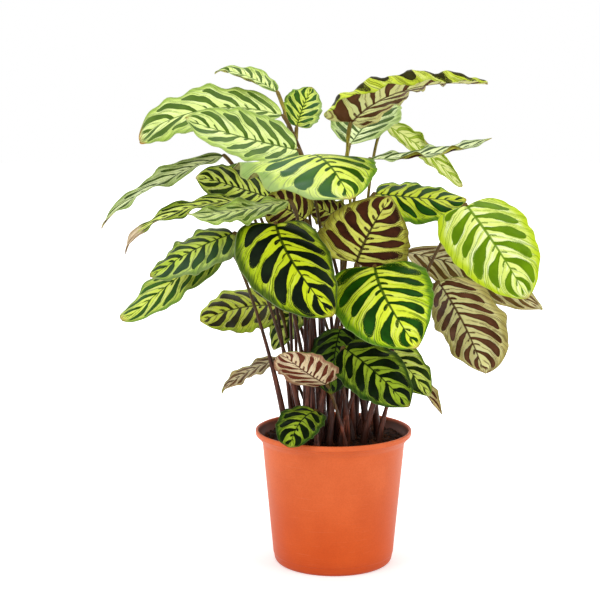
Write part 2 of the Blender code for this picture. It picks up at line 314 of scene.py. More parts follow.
LEAVES = [
    Leaf("upper_left_front", (-40, 5, 450), (195, 182), (11, 20), 124, 90, -38, (10, 15), (-15, -10)),
    Leaf("left_mid", (-61, 58, 392), (187, 187), (18, 18), 94, 75, -43, (0, 5), (-10, -10)),
    Leaf(
        "front_right", (41, -60, 332), (-88, -28), (-32, -52), 110, 108, 26,
        (0, 0), (-20, -15), ROUND, twist=36, lobes=20,
    ),
    Leaf("right_inner", (47, 48, 400), (-6, 6), (-6, -3), 100, 86, 27, (0, 0), (-20, -20)),
    Leaf(
        "front_left", (-61, -75, 378), (-80, -18), (-35, -50), 126, 101, 30,
        (0, -5), (-20, -40), ROUND, twist=40, lobes=28,
    ),
    Leaf(
        "centre_upright", (23, -35, 334), (-43, -8), (67, 56), 80, 98, -56,
        (0, 0), (-10, -30), ROUND, lobes=10,
    ),
    Leaf(
        "far_left_upper", (-124, 98, 439), (188, 188), (-17, -40), 161, 63, -10,
        (5, 10), (0, 0), LANCE, twist=26,
    ),
    Leaf("top_left", (-63, 96, 511), (148, 152), (30, 5), 87, 39, -20, (8, 8), (-10, -10), LANCE),
    Leaf("low_right_slim", (65, 20, 230), (20, 20), (-45, -60), 98, 36, -11, (10, 10), (0, 0), LANCE),
    Leaf("left_pale", (-49, -39, 399), (192, 190), (-12, -4), 107, 58, -15, (-15, 0), (0, -10), LANCE),
    Leaf("low_right", (10, -55, 246), (-42, -27), (-22, -46), 96, 66, 39, (5, 5), (-20, -20)),
    Leaf("crown_back", (19, 72, 453), (45, 50), (40, 40), 80, 90, 8, (10, 10), (0, 0), LANCE),
    Leaf("left_upper", (-106, -50, 366), (205, 182), (-15, -38), 98, 74, -35, (-12, 10), (-20, -10)),
    Leaf(
        "upper_left_back", (-57, 72, 485), (177, 172), (17, -35), 171, 89, -30,
        (10, 8), (-10, -15), PADDLE,
    ),
    Leaf("low_left_reach", (-58, 20, 222), (188, 188), (-15, -40), 77, 52, 22, (-10, 5), (0, 0), LANCE),
    Leaf("right_slim", (42, 52, 438), (-5, -5), (2, 16), 133, 51, 15, (5, 5), (0, 0), LANCE),
    Leaf("right_under", (82, 42, 336), (-2, -14), (-8, -38), 162, 78, -29, (5, -25), outline=LANCE),
    Leaf(
        "far_left_lower", (-97, 5, 395), (190, 188), (4, -44), 146, 50, -10,
        (5, 5), (0, 0), LANCE, twist=22,
    ),
    Leaf(
        "right_bright", (136, -50, 395), (-58, -42), (-36, -55), 124, 92, 38,
        (0, 0), (-15, -15), ROUND, twist=34, lobes=8,
    ),
    Leaf(
        "crown_front", (-29, -38, 445), (-76, -55), (14, -54), 118, 122, 6,
        (-4, 0), (-15, -20), ROUND, twist=16, lobes=12,
    ),
    Leaf("heart_under", (-31, -10, 377), (177, 194), (37, 5), 50, 66, 54),
    Leaf("top_right", (17, -30, 480), (-44, 15), (40, -12), 158, 92, -20, (0, 18), (10, 0), EGG, 14, 28),
    Leaf("left_inner", (-63, 52, 275), (188, 193), (5, -26), 87, 87, -30, (5, 5), (-30, -10)),
    Leaf("low_front", (-9, -60, 209), (-135, -132), (27, 38), 80, 58, 8, (5, 5)),
    Leaf("right_back", (60, 95, 474), (28, 20), (-25, -48), 124, 47, 60, (0, 20)),
    Leaf("left_lower", (-117, -20, 351), (190, 190), (-32, -42), 134, 56, -37, (0, 5), (-20, -10)),
    Leaf("right_low", (113, -5, 308), (8, 25), (-55, -69), 117, 100, -53, (0, 34), (-20, 0)),
    Leaf("crown_back_left", (-40, 102, 472), (65, 45), (60, 50), 52, 46, 12, (0, 45), (-20, -20)),
    Leaf("rim_small", (-21, -45, 177), (-129, -107), (-5, -51), 64, 48, -13, (5, 5), (-10, -10)),
]
print("leaves:", len(LEAVES))

# %% [markdown]
# ## What each leaf looks like
# Leaves of one plant differ in age and in the light they get, and some of that light is painted into their
# colours. Old leaves are dark, with blotches that are nearly black, and those low in the clump get painted
# shade as well. Young ones are bright lime. Those at the top face the light and are painted pale, some with
# a painted sheen over them. Some edges are nearly flat, some are ruffled like a ribbon and some roll over,
# and a few tips have dried out.

# %% The look of each leaf
@dataclass
class Look:
    """How one leaf is finished: its colours above and below, and how its edges and tip behave."""

    top: str = "fresh"
    under: str = "maroon"
    veins: float = 5.5  # side bands along each half
    ruffle: float = 2.0  # how far the edges swing up and down, mm
    waves: float = 3.0  # how many times they do so along the leaf
    curl: float = 0.0  # how far the tip curls up, mm
    hook: float = 0.0  # how far the tip swings to the leaf's left, mm
    point: float = 0.2  # how sharply the tip narrows
    ragged: float = 0.02  # how uneven the edge is, as a share of the half width
    furl: tuple = (0, 0)  # degrees by which the right and left edges roll up, or down if negative
    furl_from: float = 0.5  # share of the half width at which an edge starts to roll
    spare: tuple = (0, 0)  # share by which the right and left halves are wider than the solid's
    wide: float = 1.0  # share of the usual pattern that fits between midrib and edge
    tilt: float = 0.0  # degrees by which the blade has turned about its midrib
    painted_sheen: tuple = (0, 0)  # how much painted pale sheen covers the right and left halves
    dry: float = 1.0  # station from which the blade has dried out
    young: float = 0.2  # how green the stalk is


LOOKS = {
    "upper_left_front": Look("pale", veins=6.5, ruffle=1.6, waves=3, curl=2, painted_sheen=(0.03, 0.1)),
    "left_mid": Look("olive", veins=7, ruffle=1.6, waves=2.5, curl=-5, point=0.15),
    "front_right": Look("fresh", veins=5.8, ruffle=1.2, waves=2.5, curl=2, point=0.15, ragged=0.012),
    "right_inner": Look("fresh", veins=5.5, ruffle=1.6, waves=3, curl=2),
    "front_left": Look("deep", veins=6.0, ruffle=1.0, waves=2.5, curl=2, point=0.1, ragged=0.01),
    "centre_upright": Look("fresh", "maroon", veins=6.0, ruffle=1.2, waves=2.5, point=0.2),
    "far_left_upper": Look(
        "mint", "rose", veins=7, ruffle=3.4, waves=2.6, curl=-5, ragged=0.05, furl=(50, -30),
        spare=(-0.3, -0.3),
    ),
    "top_left": Look("pale", veins=6, ruffle=1.8, waves=2, curl=-6, point=0.1, furl=(0, 60), young=1),
    "low_right_slim": Look("fresh", "rose", veins=6, ruffle=1.8, waves=2.5, curl=3, point=0.2),
    "left_pale": Look("pale", veins=7, ruffle=2.8, waves=3, curl=4, ragged=0.05, furl=(50, 0)),
    "low_right": Look("night", veins=5.5, ruffle=2.0, waves=3, curl=2),
    "crown_back": Look("mint", veins=6, ruffle=2.0, waves=3, curl=2, painted_sheen=(0.05, 0.05), young=1),
    "left_upper": Look("moss", veins=6, ruffle=2.4, waves=3, curl=2, painted_sheen=(0.06, 0.18), point=0.1),
    "upper_left_back": Look(
        "pale", veins=7, ruffle=2.6, waves=3, curl=-5, ragged=0.04, point=0, dry=0.97,
    ),
    "low_left_reach": Look("fresh", "straw", veins=6, ruffle=2.0, waves=2.5, curl=-4, dry=0.93),
    "right_slim": Look(
        "mint", veins=7, ruffle=2.6, waves=3, curl=3, ragged=0.05, furl=(40, -40), young=0.5,
    ),
    "right_under": Look("fresh", "straw", veins=8, ruffle=2.6, waves=3, curl=3, point=0.2),
    "far_left_lower": Look(
        "olive", "tan", veins=7, ruffle=3.0, waves=3, curl=-9, hook=-6, ragged=0.06, point=0,
        furl=(40, -30), spare=(-0.35, -0.35), dry=0.79,
    ),
    "right_bright": Look(
        "bright", "rose", veins=6.2, ruffle=1.4, waves=2.5, curl=2, point=0.1, ragged=0.015,
    ),
    "crown_front": Look(
        "crown", veins=6, ruffle=2.6, waves=4, curl=2, point=0.1, ragged=0.02, painted_sheen=(0.35, 0),
        furl=(20, 0), spare=(0.4, 0),
    ),
    "heart_under": Look("fresh", "maroon", veins=6, ruffle=1.5, waves=2),
    "top_right": Look(
        "amber", "rose", veins=8, ruffle=4.0, waves=5, curl=4, hook=4, ragged=0.055, furl=(-165, 0),
        furl_from=0.7, spare=(0.22, 0), wide=0.84, young=1,
    ),
    "left_inner": Look("amber", veins=5.5, ruffle=2.0, waves=2.5, curl=-3, hook=-5, point=0.1),
    "low_front": Look("fresh", "tan", veins=6.5, ruffle=1.6, waves=2.5, curl=-2, tilt=20),
    "right_back": Look(
        "lime", veins=6, ruffle=3.2, waves=2.5, curl=2, ragged=0.08, point=0, furl=(-50, 110),
        spare=(-0.5, -0.45), young=0.7,
    ),
    "left_lower": Look("crown", veins=7, ruffle=2.8, waves=2.6, curl=6, painted_sheen=(0.2, 0.1), point=0),
    "right_low": Look("fresh", "rose", veins=8, ruffle=3.0, waves=3, curl=3, ragged=0.012, point=0.05),
    "crown_back_left": Look(
        "crown", veins=5.5, ruffle=2.6, waves=2.5, curl=2, ragged=0.03, painted_sheen=(0.3, 0.1), young=1,
    ),
    "rim_small": Look("night", veins=5, ruffle=2.0, waves=3, curl=3, point=0),
}
print("upper faces:", sorted({look.top for look in LOOKS.values()}))
print("undersides:", sorted({look.under for look in LOOKS.values()}))

# %% [markdown]
# ## The shape of a blade
# Two numbers name any point of a blade. Its station runs along the midrib, from 0 at the base to 1 at the
# tip. Its share runs across, from -1 at the right edge to +1 at the left edge. The same two numbers later
# tell the material where the veins and blotches go, so the pattern always follows the leaf.
# First the midrib is walked in small steps, each turned a little from the last.

# %% Walking along the midrib
BLADE_END = 1.5  # half the width that a plain blade keeps at its base and tip
MIDRIB_STEPS = 80


def midrib(leaf, stations):
    """Points along the midrib at the given stations, each with its forward, left and upper direction."""
    fine = np.linspace(0, 1, MIDRIB_STEPS + 1)
    heading = np.radians(np.interp(fine, (0, 1), leaf.heading))
    rise = np.radians(np.interp(fine, (0, 1), leaf.rise))
    roll = np.radians(leaf.roll + leaf.twist * (fine - 0.5))[:, None]
    ahead = np.stack([np.cos(heading) * np.cos(rise), np.sin(heading) * np.cos(rise), np.sin(rise)], 1)
    above = np.stack([-np.cos(heading) * np.sin(rise), -np.sin(heading) * np.sin(rise), np.cos(rise)], 1)
    left = np.cross(above, ahead)
    face = above * np.cos(roll) - left * np.sin(roll)
    side = np.cross(face, ahead)
    steps = (ahead[1:] + ahead[:-1]) / 2 * leaf.length / MIDRIB_STEPS
    path = np.array(leaf.base) + np.concatenate([np.zeros((1, 3)), np.cumsum(steps, 0)])

    def at(values):
        """The values at the stations asked for."""
        return np.stack([np.interp(stations, fine, values[:, axis]) for axis in range(3)], 1)

    return at(path), at(ahead), at(side), at(face)


def half_widths(leaf, stations):
    """Half of the blade's width at each station."""
    start, end = leaf.outline
    widest = start / (start + end)
    share = stations**start * (1 - stations) ** end / (widest**start * (1 - widest) ** end)
    return np.maximum(BLADE_END, leaf.width / 2 * share)


print("half widths of the first leaf:", half_widths(LEAVES[0], np.linspace(0, 1, 5)).round())

# %% [markdown]
# From the midrib each half of the blade reaches out sideways, lifted by its fold and bent by its bow. That
# gives the smooth sheet of the solid. A living leaf has more. Its tip narrows to a point and may swing to
# one side, its outline is never quite even, one half may be wider than the other, and an edge may roll over.
# Those change the sheet itself. Its edges also swing up and down, it is lightly pleated along its side veins,
# it dips at the midrib, and its tip curls. These are small pushes up or down from the sheet.

# %% The numbers of the sheet
LOBE_FADE = 8  # the higher it is, the closer to the base the round lobes stay
VEIN_SLOPE = 0.28  # how far along the leaf a side vein runs by the time it reaches the edge
VEIN_CURVE = 0.06
VEIN_FAN = 0.15  # near the base the side veins spread out straight
CROWDING = 0.12  # the smaller it is, the closer together the side veins stand near the base
CROWD_POWER = 0.7
LANE_SCALE = 1 / ((1 + CROWDING) ** CROWD_POWER - CROWDING**CROWD_POWER)
LEAST = 0.001  # keeps a power from being taken of nothing
PLEAT = 0.45  # how high the pleats along the side veins are, mm
GROOVE, GROOVE_WIDTH = 0.9, 2.4  # how deep and how wide the dip at the midrib is, mm
TIP_END = 0.5  # half the width that a dressed blade keeps at its tip, mm
TIP_FROM = 0.80  # station from which the tip curls and swings
POINT_FROM = 7  # the higher it is, the closer to the tip a leaf starts to narrow
EDGE_WAVES = ((29, 5, 2, 1.0), (47, 3, -1, 0.7), (71, 1, 1, 0.3))  # how fine, two shifts, and how strong
BEND_STEPS = 16
FURL_WIDTH = 0.16  # share of the half width over which an edge rolls
FURL_MEAN, FURL_SWING = 0.75, 0.3  # an edge rolls more in some places than in others
RUFFLE_HANDS, RUFFLE_SEEDS = 0.31, 0.17  # how far out of step the two edges are, and any two leaves
RUFFLE_SECOND, SECOND_PACE = 0.45, 2.3  # a second, quicker ruffle rides on the first
RUFFLE_RISE = 2.4  # the higher it is, the closer to the edge the ruffles stay
FURL_ENDS, RUFFLE_ENDS = 0.5, 0.6  # the smaller it is, the closer to the base and the tip they reach


# %% Where the side veins run
def vein_of(stations, shares):
    """The station on the midrib that the side vein through each point starts from."""
    slope = VEIN_SLOPE * np.abs(shares) + VEIN_CURVE * shares**2
    return stations - slope * stations / (stations + VEIN_FAN) * (1 + VEIN_FAN)


def lane_of(veins, vein):
    """Counts the side veins from the base. They stand closer together there than near the tip."""
    return veins * LANE_SCALE * np.maximum(vein + CROWDING, LEAST) ** CROWD_POWER


print("lanes at the base and the tip:", lane_of(6, np.array([0.0, 1.0])).round(1))

# %% The sheet
def by_side(values, shares):
    """The value for the right or the left half of the leaf, for each point."""
    return np.where(shares > 0, values[1], values[0])


def at_tip(stations):
    """0 along most of the leaf, rising to 1 at its tip."""
    return np.clip((stations - TIP_FROM) / (1 - TIP_FROM), 0, 1) ** 2


def edge_shape(look, seed, stations, shares):
    """Share of the plain half width: a leaf narrows to a point, and its edge is never quite even."""
    pointed = (1 - stations) ** (look.point * stations**POINT_FROM)
    hand = np.sign(shares)
    waves = 0
    for fine, by_seed, by_hand, strength in EDGE_WAVES:
        waves = waves + strength * np.sin(fine * stations + by_seed * seed + by_hand * hand)
    return pointed * (1 + look.ragged * waves) * (1 + by_side(look.spare, shares) * np.abs(shares))


def bend(leaf, look, seed, stations, shares):
    """How far out and up a point lies, as shares of the half width, and how steeply the sheet leans there."""
    distance = np.abs(shares)[:, None]
    steps = np.append((np.arange(BEND_STEPS) + 0.5) / BEND_STEPS, 1.0)
    along = distance * steps
    rolling = np.clip((along - look.furl_from) / FURL_WIDTH, 0, 1)
    uneven = FURL_MEAN + FURL_SWING * np.sin(math.tau * look.waves * stations + seed)
    furl = np.radians(by_side(look.furl, shares)) * uneven * np.sin(np.pi * stations) ** FURL_ENDS
    fold = np.radians(by_side(leaf.fold, shares) + look.tilt * np.sign(shares))[:, None]
    bow = np.radians(by_side(leaf.bow, shares))[:, None]
    lean = fold + bow * along + furl[:, None] * rolling
    out = shares * np.cos(lean[:, :-1]).mean(axis=1)
    up = np.abs(shares) * np.sin(lean[:, :-1]).mean(axis=1)
    return out, up, lean[:, -1]


def sheet(leaf, look, seed, stations, shares):
    """Points of the smooth blade, which way its upper face looks at each, and how wide the half is there."""
    path, ahead, side, face = midrib(leaf, stations)
    reach = np.maximum(TIP_END, half_widths(leaf, stations) * edge_shape(look, seed, stations, shares))
    back = leaf.lobes * shares**2 * (1 - stations) ** LOBE_FADE * reach / (leaf.width / 2)
    path = path - back[:, None] * ahead
    path = path + (look.hook * at_tip(stations))[:, None] * side
    out, up, lean = bend(leaf, look, seed, stations, shares)
    points = path + reach[:, None] * (out[:, None] * side + up[:, None] * face)
    facing = np.cos(lean)[:, None] * face - (np.sign(shares) * np.sin(lean))[:, None] * side
    return points, facing, reach


# %% The small shapes on the sheet
def small_shapes(look, seed, stations, shares, reach):
    """How far each point is pushed up from the smooth sheet, in millimetres."""
    distance = np.abs(shares)
    turn = math.tau * (look.waves * stations + RUFFLE_HANDS * np.sign(shares) + RUFFLE_SEEDS * seed)
    swing = np.sin(turn) + RUFFLE_SECOND * np.sin(SECOND_PACE * turn + seed)
    ruffle = look.ruffle * swing * distance**RUFFLE_RISE * np.sin(np.pi * stations) ** RUFFLE_ENDS
    lanes = lane_of(look.veins, vein_of(stations, shares))
    pleats = PLEAT * np.cos(math.tau * lanes) * np.sqrt(distance) * (1 - distance**4)
    groove = -GROOVE * np.exp(-((shares * reach / GROOVE_WIDTH) ** 2))
    return ruffle + pleats + groove + look.curl * at_tip(stations)


# %% [markdown]
# A blade starts as Blender's own grid. Its points are moved onto the sheet, and a Solidify modifier gives it
# its thickness and puts the second material on its underside. Station, share, seed and the number of veins
# are stored on the points as attributes for the materials to read, and so is where the blade is dry and
# where it gets a painted sheen.

# %% Storing numbers on a mesh
def store(mesh, name, values):
    """Keeps one number for each point of a mesh, under a name that a material can read."""
    layer = mesh.attributes.new(name, "FLOAT", "POINT")
    layer.data.foreach_set("value", np.asarray(values, dtype=np.float32))


def store_same(mesh, name, value):
    """Keeps the same number for every point of a mesh."""
    store(mesh, name, np.full(len(mesh.vertices), float(value)))


def places(mesh):
    """The places of a mesh's points, one row each."""
    flat = np.empty(len(mesh.vertices) * 3)
    mesh.vertices.foreach_get("co", flat)
    return flat.reshape(-1, 3)


# %% Laying out one blade
ALONG, ACROSS = 72, 36
LEAF_THICKNESS = 0.5
DRY_EDGE = 0.03  # how much sooner the edges dry out than the midrib
DRY_STEP = 0.035  # share of the leaf over which it turns from green to dry
DRY_WAVES = ((23, 1, 0.02), (61, 2, 0.012))  # how fine, one shift, and how strong
BROWN_FROM, BROWN_STEP = 0.975, 0.02  # every leaf ends in a small brown tip


def dryness(look, stations, shares, seed):
    """1 where the blade has dried out, which starts at its tip and its edges."""
    wander = sum(strength * np.sin(fine * shares + by_seed * seed) for fine, by_seed, strength in DRY_WAVES)
    dried = np.clip((stations + wander + DRY_EDGE * np.abs(shares) - look.dry) / DRY_STEP, 0, 1)
    tip = np.clip((stations + wander - BROWN_FROM) / BROWN_STEP, 0, 1)
    return np.maximum(dried, tip)


def painted_sheen_on(look, shares):
    """How much painted sheen lies on each point. It keeps clear of the midrib."""
    return by_side(look.painted_sheen, shares) * np.clip(3 * np.abs(shares) - 0.2, 0, 1)


def face_up(mesh, facing):
    """Turns all faces over if one in the middle of the blade looks down."""
    mesh.update()
    middle = mesh.polygons[len(mesh.polygons) // 2 + ACROSS // 2]
    if middle.normal.dot(Vector(facing[middle.vertices[0]])) < 0:
        mesh.flip_normals()


def thicken(blade):
    """Gives a sheet its thickness, with the second material on its underside."""
    wall = blade.modifiers.new("Thickness", "SOLIDIFY")
    wall.thickness = LEAF_THICKNESS * MM
    wall.offset = 0
    wall.material_offset = 1
    bpy.ops.object.modifier_apply(modifier=wall.name)
    bpy.ops.object.shade_smooth()


def add_blade(leaf, look, seed, top, under):
    """One blade, from a flat grid that is crowded towards the base and the tip of the leaf."""
    bpy.ops.mesh.primitive_grid_add(x_subdivisions=ACROSS, y_subdivisions=ALONG, size=2)
    blade = bpy.context.object
    blade.name = "leaf_" + leaf.name
    mesh = blade.data
    mesh.name = blade.name
    flat = places(mesh)
    shares = -flat[:, 0]
    stations = (1 - np.cos((flat[:, 1] + 1) / 2 * np.pi)) / 2
    points, facing, reach = sheet(leaf, look, seed, stations, shares)
    points = points + facing * small_shapes(look, seed, stations, shares, reach)[:, None]
    mesh.vertices.foreach_set("co", (points * MM).ravel())
    store(mesh, "station", stations)
    store(mesh, "share", shares * look.wide)
    store_same(mesh, "seed", seed)
    store_same(mesh, "veins", look.veins)
    store(mesh, "dry", dryness(look, stations, shares, seed))
    store(mesh, "painted_sheen", painted_sheen_on(look, shares))
    face_up(mesh, facing)
    mesh.materials.append(top)
    mesh.materials.append(under)
    thicken(blade)
    return blade


# %% [markdown]
# ## The stalks
# A stalk leaves the peat upright, leans out to its leaf, and bends over under the blade. Its foot is wrapped
# in a sheath, and just below the blade it swells into a short joint that turns the leaf to the light.
# A curve with a round bevel follows that path. Converted to a mesh, it keeps the path's thickness.

# %% The path of a stalk
GAP = 0.3  # the little room that a solid stalk keeps at both of its ends, mm
POT_HEIGHT = 147
SHOULDER_RADIUS = 77.5  # outside of the pot's wall just below its rim
PEAT_BELOW_RIM = 10
PEAT_MOUND = 2
CLUMP_RADIUS = 56
GOLDEN_ANGLE = math.pi * (3 - math.sqrt(5))
STALK_STUMP = 3  # the short upright start of a stalk
STALK_END = 1.2  # radius where the blade begins
STALK_SUNK = 4  # how far below the peat a stalk starts
INTO_BLADE = 0.5  # how far it runs into its blade
PULL_AHEAD, PULL_UP, PULL_STRAIGHT = 0.25, 0.16, 0.14  # how a stalk arrives at its blade
BUNCHING = 1.3  # the higher it is, the closer together the points stand near the blade


def peat_height(distance):
    """Height of the peat's lightly mounded surface at a distance from the pot's axis."""
    fall = math.cos(math.pi / 2 * min(1, distance / SHOULDER_RADIUS))
    return POT_HEIGHT - PEAT_BELOW_RIM + PEAT_MOUND * fall


def stalk_root(place):
    """Where the stalk at one place of the clump comes out of the peat. The places wind out in a spiral."""
    distance = CLUMP_RADIUS * math.sqrt((place + 0.5) / len(LEAVES))
    angle = GOLDEN_ANGLE * place
    return np.array([distance * math.cos(angle), distance * math.sin(angle), peat_height(distance) + GAP])


def stalk_path(leaf, root, segments):
    """A stalk rises out of the peat, fans out, and bends over under its blade, along one smooth curve."""
    up = np.array([0, 0, 1])
    foot = root + STALK_STUMP * up
    path, ahead, _, _ = midrib(leaf, np.array([0.0]))
    end = path[0] - (GAP + STALK_END) * ahead[0]
    reach = np.linalg.norm(end - foot)
    straight = (end - foot) / reach
    leaving = reach * (straight + up) / 2
    arriving = reach * (PULL_AHEAD * ahead[0] + PULL_UP * up + PULL_STRAIGHT * straight)
    t = 1 - (1 - np.linspace(0, 1, segments + 1)[:, None]) ** BUNCHING
    curve = (
        (2 * t**3 - 3 * t**2 + 1) * foot
        + (t**3 - 2 * t**2 + t) * leaving
        + (3 * t**2 - 2 * t**3) * end
        + (t**3 - t**2) * arriving
    )
    return np.concatenate([[root - STALK_SUNK * up], curve, path + INTO_BLADE * ahead])


print("roots of the first three stalks, mm:", [stalk_root(place).round().tolist() for place in range(3)])

# %% The thickness of a stalk
SHEATH_RADIUS = 4.0
STEM_RADIUS = 1.7
NECK_RADIUS = 2.3
NECK_LENGTH = 18
SHEATH_SHARE, SHEATH_VARIES, SHEATH_TURN = 0.30, 0.12, 2.1  # how much of a stalk its sheath wraps
STALK_SEGMENTS = 48
BEVEL_STEPS = 4


def stalk_radii(lengths, sheath_share):
    """Radius at each length: a sheath with a small lip where it ends, a thin stem, and the swollen neck."""
    whole = lengths[-1]
    neck = whole - min(NECK_LENGTH, whole / 4)
    lip = sheath_share * whole
    profile = [
        (0, SHEATH_RADIUS),
        (lip / 2, 0.80 * SHEATH_RADIUS),
        (lip - 1, 0.62 * SHEATH_RADIUS),
        (lip + 1.5, 1.25 * STEM_RADIUS),
        ((lip + neck) / 2, STEM_RADIUS),
        (neck - 4, STEM_RADIUS),
        (neck + 1, NECK_RADIUS),
        (whole - 3, NECK_RADIUS),
        (whole, STALK_END),
    ]
    marks, radii = zip(*profile)
    return np.interp(lengths, marks, radii)


def pick(piece):
    """Selects one piece alone and makes it active, because an operator acts on all that is selected."""
    bpy.ops.object.select_all(action="DESELECT")
    piece.select_set(True)
    bpy.context.view_layer.objects.active = piece


def tube(name, path, radii):
    """A closed round tube along a path, in millimetres, as a mesh."""
    curve = bpy.data.curves.new(name, "CURVE")
    curve.dimensions = "3D"
    curve.bevel_depth = MM
    curve.bevel_resolution = BEVEL_STEPS
    curve.use_fill_caps = True
    spline = curve.splines.new("POLY")
    spline.points.add(len(path) - 1)
    for point, place, radius in zip(spline.points, path, radii):
        point.co = (*(place * MM), 1)
        point.radius = radius
    spline.use_smooth = True
    made = bpy.data.objects.new(name, curve)
    scene.collection.objects.link(made)
    pick(made)
    bpy.ops.object.convert(target="MESH")
    made = bpy.context.object
    made.name = name
    made.data.materials.clear()
    bpy.ops.object.shade_smooth()
    return made


def add_stalk(leaf, look, root, number, finish):
    """One stalk. Each of its points is told how far up the stalk it is."""
    path = stalk_path(leaf, root, STALK_SEGMENTS)
    lengths = np.concatenate([[0], np.cumsum(np.linalg.norm(np.diff(path, axis=0), axis=1))])
    radii = stalk_radii(lengths, SHEATH_SHARE + SHEATH_VARIES * math.sin(SHEATH_TURN * number))
    stalk = tube("petiole_" + leaf.name, path, radii)
    near = np.linalg.norm(places(stalk.data)[:, None] / MM - path[None], axis=2).argmin(axis=1)
    store(stalk.data, "climb", lengths[near] / lengths[-1])
    store_same(stalk.data, "seed", number)
    store_same(stalk.data, "young", look.young)
    stalk.data.materials.append(finish)
    return stalk


# %% [markdown]
# ## The calathea pattern
# The blotches of a calathea lie along its side veins. Each vein has a long one, and now and then a small
# round one sits between two of them, close to the midrib. The two halves of the leaf are out of step. Fine
# dark lines run between the blotches, and a dark band follows the edge. All of it is worked out from station
# and share in one node group, which both faces of every leaf use. A lane number counts the side veins: its
# whole part says which blotch a point belongs to, and the rest says how far across the blotch it is.

# %% The lanes of the pattern
CLOUDS_ALONG, CLOUDS_ACROSS = 7.0, 2.5  # how fine the clouds of a leaf are, along it and across
WARP = 0.05  # how far a side vein strays, as a share of the leaf's length
OUT_OF_STEP = 0.42  # how many lanes one half is ahead of the other


def stray(group, station, share, seed):
    """A place in the clouds for each point, and how far its vein strays there."""
    place = spot(group, times(group, station, CLOUDS_ALONG), times(group, share, CLOUDS_ACROSS), seed)
    warp = calc(group, "SUBTRACT", cloud(group, place, 1.0, 2.0), 0.5)
    return place, times(group, warp, WARP)


def count_lanes(group, station, reach, warp):
    """The same sums as vein_of and lane_of, in nodes, for a leaf with a single vein."""
    slope = times(group, reach, times_plus(group, reach, VEIN_CURVE, VEIN_SLOPE))
    fan = calc(group, "DIVIDE", station, calc(group, "ADD", station, VEIN_FAN))
    slope = times(group, slope, times(group, fan, 1 + VEIN_FAN))
    vein = calc(group, "ADD", calc(group, "SUBTRACT", station, slope), warp)
    crowded = calc(group, "MAXIMUM", calc(group, "ADD", vein, CROWDING), LEAST)
    return times(group, calc(group, "POWER", crowded, CROWD_POWER), LANE_SCALE)


def draw_luck(group, lane, side, seed):
    """Three random numbers for each lane of each half: for its width, its reach and its small blotch."""
    luck = group.nodes.new("ShaderNodeTexWhiteNoise")
    put(group, spot(group, calc(group, "FLOOR", lane), side, seed), luck.inputs["Vector"])
    parts = group.nodes.new("ShaderNodeSeparateColor")
    put(group, luck.outputs["Color"], parts.inputs[0])
    return parts.outputs


# %% The blotches of the pattern
BLOTCH_END, END_VARIES = 0.74, 0.14  # share of the half width at which a long blotch ends
SMALL_PLACE = 0.085  # share of the half width at which the small blotches sit
SMALL_WIDTH, SMALL_LENGTH = 0.11, 0.075


def long_blotch(group, reach, across, widely, far, fill):
    """The long blotch starts narrow at the midrib, widens, and ends blunt before the edge."""
    waist = times_plus(group, fade(group, reach, 0.0, 0.62), 0.70, 0.30)
    waist = times(group, waist, times_plus(group, widely, 0.12, fill))
    run = calc(group, "DIVIDE", reach, times_plus(group, far, END_VARIES, BLOTCH_END))
    tail = calc(group, "SUBTRACT", 1.0, calc(group, "POWER", run, 7.0))
    tail = calc(group, "SQRT", calc(group, "MAXIMUM", tail, 0.0))
    inside = calc(group, "SUBTRACT", times(group, waist, tail), across)
    return times(group, fade(group, inside, -0.012, 0.022), fade(group, tail, 0.0, 0.25)), inside


def out_of_oval(group, across, width, along, length):
    """How far out of an oval a point is: under 1 inside it. The powers make its ends blunt."""
    first = calc(group, "POWER", calc(group, "ABSOLUTE", calc(group, "DIVIDE", across, width)), 2.4)
    second = calc(group, "POWER", calc(group, "ABSOLUTE", calc(group, "DIVIDE", along, length)), 3.2)
    return calc(group, "ADD", first, second)


def small_blotch(group, reach, between, seldom):
    """About half of the lanes have a small one, between two long ones and close to the midrib."""
    along = calc(group, "SUBTRACT", reach, SMALL_PLACE)
    small = out_of_oval(group, between, SMALL_WIDTH, along, SMALL_LENGTH)
    return times(group, fade(group, small, 1.3, 0.7), fade(group, seldom, 0.45, 0.5))


# %% The lines of the pattern
def fine_lines(group, place, reach, across, between, far, seldom):
    """Between the blotches: one line halfway, one on each side of it, and one from a blotch to the edge."""
    wander = times_plus(group, seldom, 0.10, -0.05)
    halfway = fade(group, calc(group, "ABSOLUTE", calc(group, "ADD", between, wander)), 0.040, 0.012)
    halfway = times(group, halfway, fade(group, reach, 0.03, 0.20))
    beside = calc(group, "SUBTRACT", between, times_plus(group, far, 0.05, 0.09))
    beside = fade(group, calc(group, "ABSOLUTE", beside), 0.032, 0.010)
    beside = times(group, beside, fade(group, reach, 0.25, 0.55))
    onward = times(group, fade(group, across, 0.040, 0.012), fade(group, reach, 0.60, 0.75))
    lines = calc(group, "MAXIMUM", calc(group, "MAXIMUM", halfway, beside), onward)
    unbroken = fade(group, cloud(group, place, 3.0, 2.0), 0.30, 0.50)
    return times(group, lines, times_plus(group, unbroken, 0.7, 0.3))


def edge_band(group, reach, warp, streaks):
    """The dark band along the edge, which streaks and clouds make uneven."""
    edge = times_plus(group, warp, 2.2, times_plus(group, streaks, 0.22, reach))
    return fade(group, edge, 0.90, 1.03)


def midrib_line(group, station, reach):
    """The midrib, which gets thinner towards the tip."""
    rib = calc(group, "DIVIDE", reach, times_plus(group, station, -0.034, 0.052))
    return fade(group, rib, 1.0, 0.45)


# %% The pattern group
GIVEN = ("Station", "Share", "Seed", "Veins", "Fill")
MASKS = ("Blotch", "Core", "Lines", "Margin", "Rim", "Midrib", "Joint", "Streaks", "Clouds", "Reach")


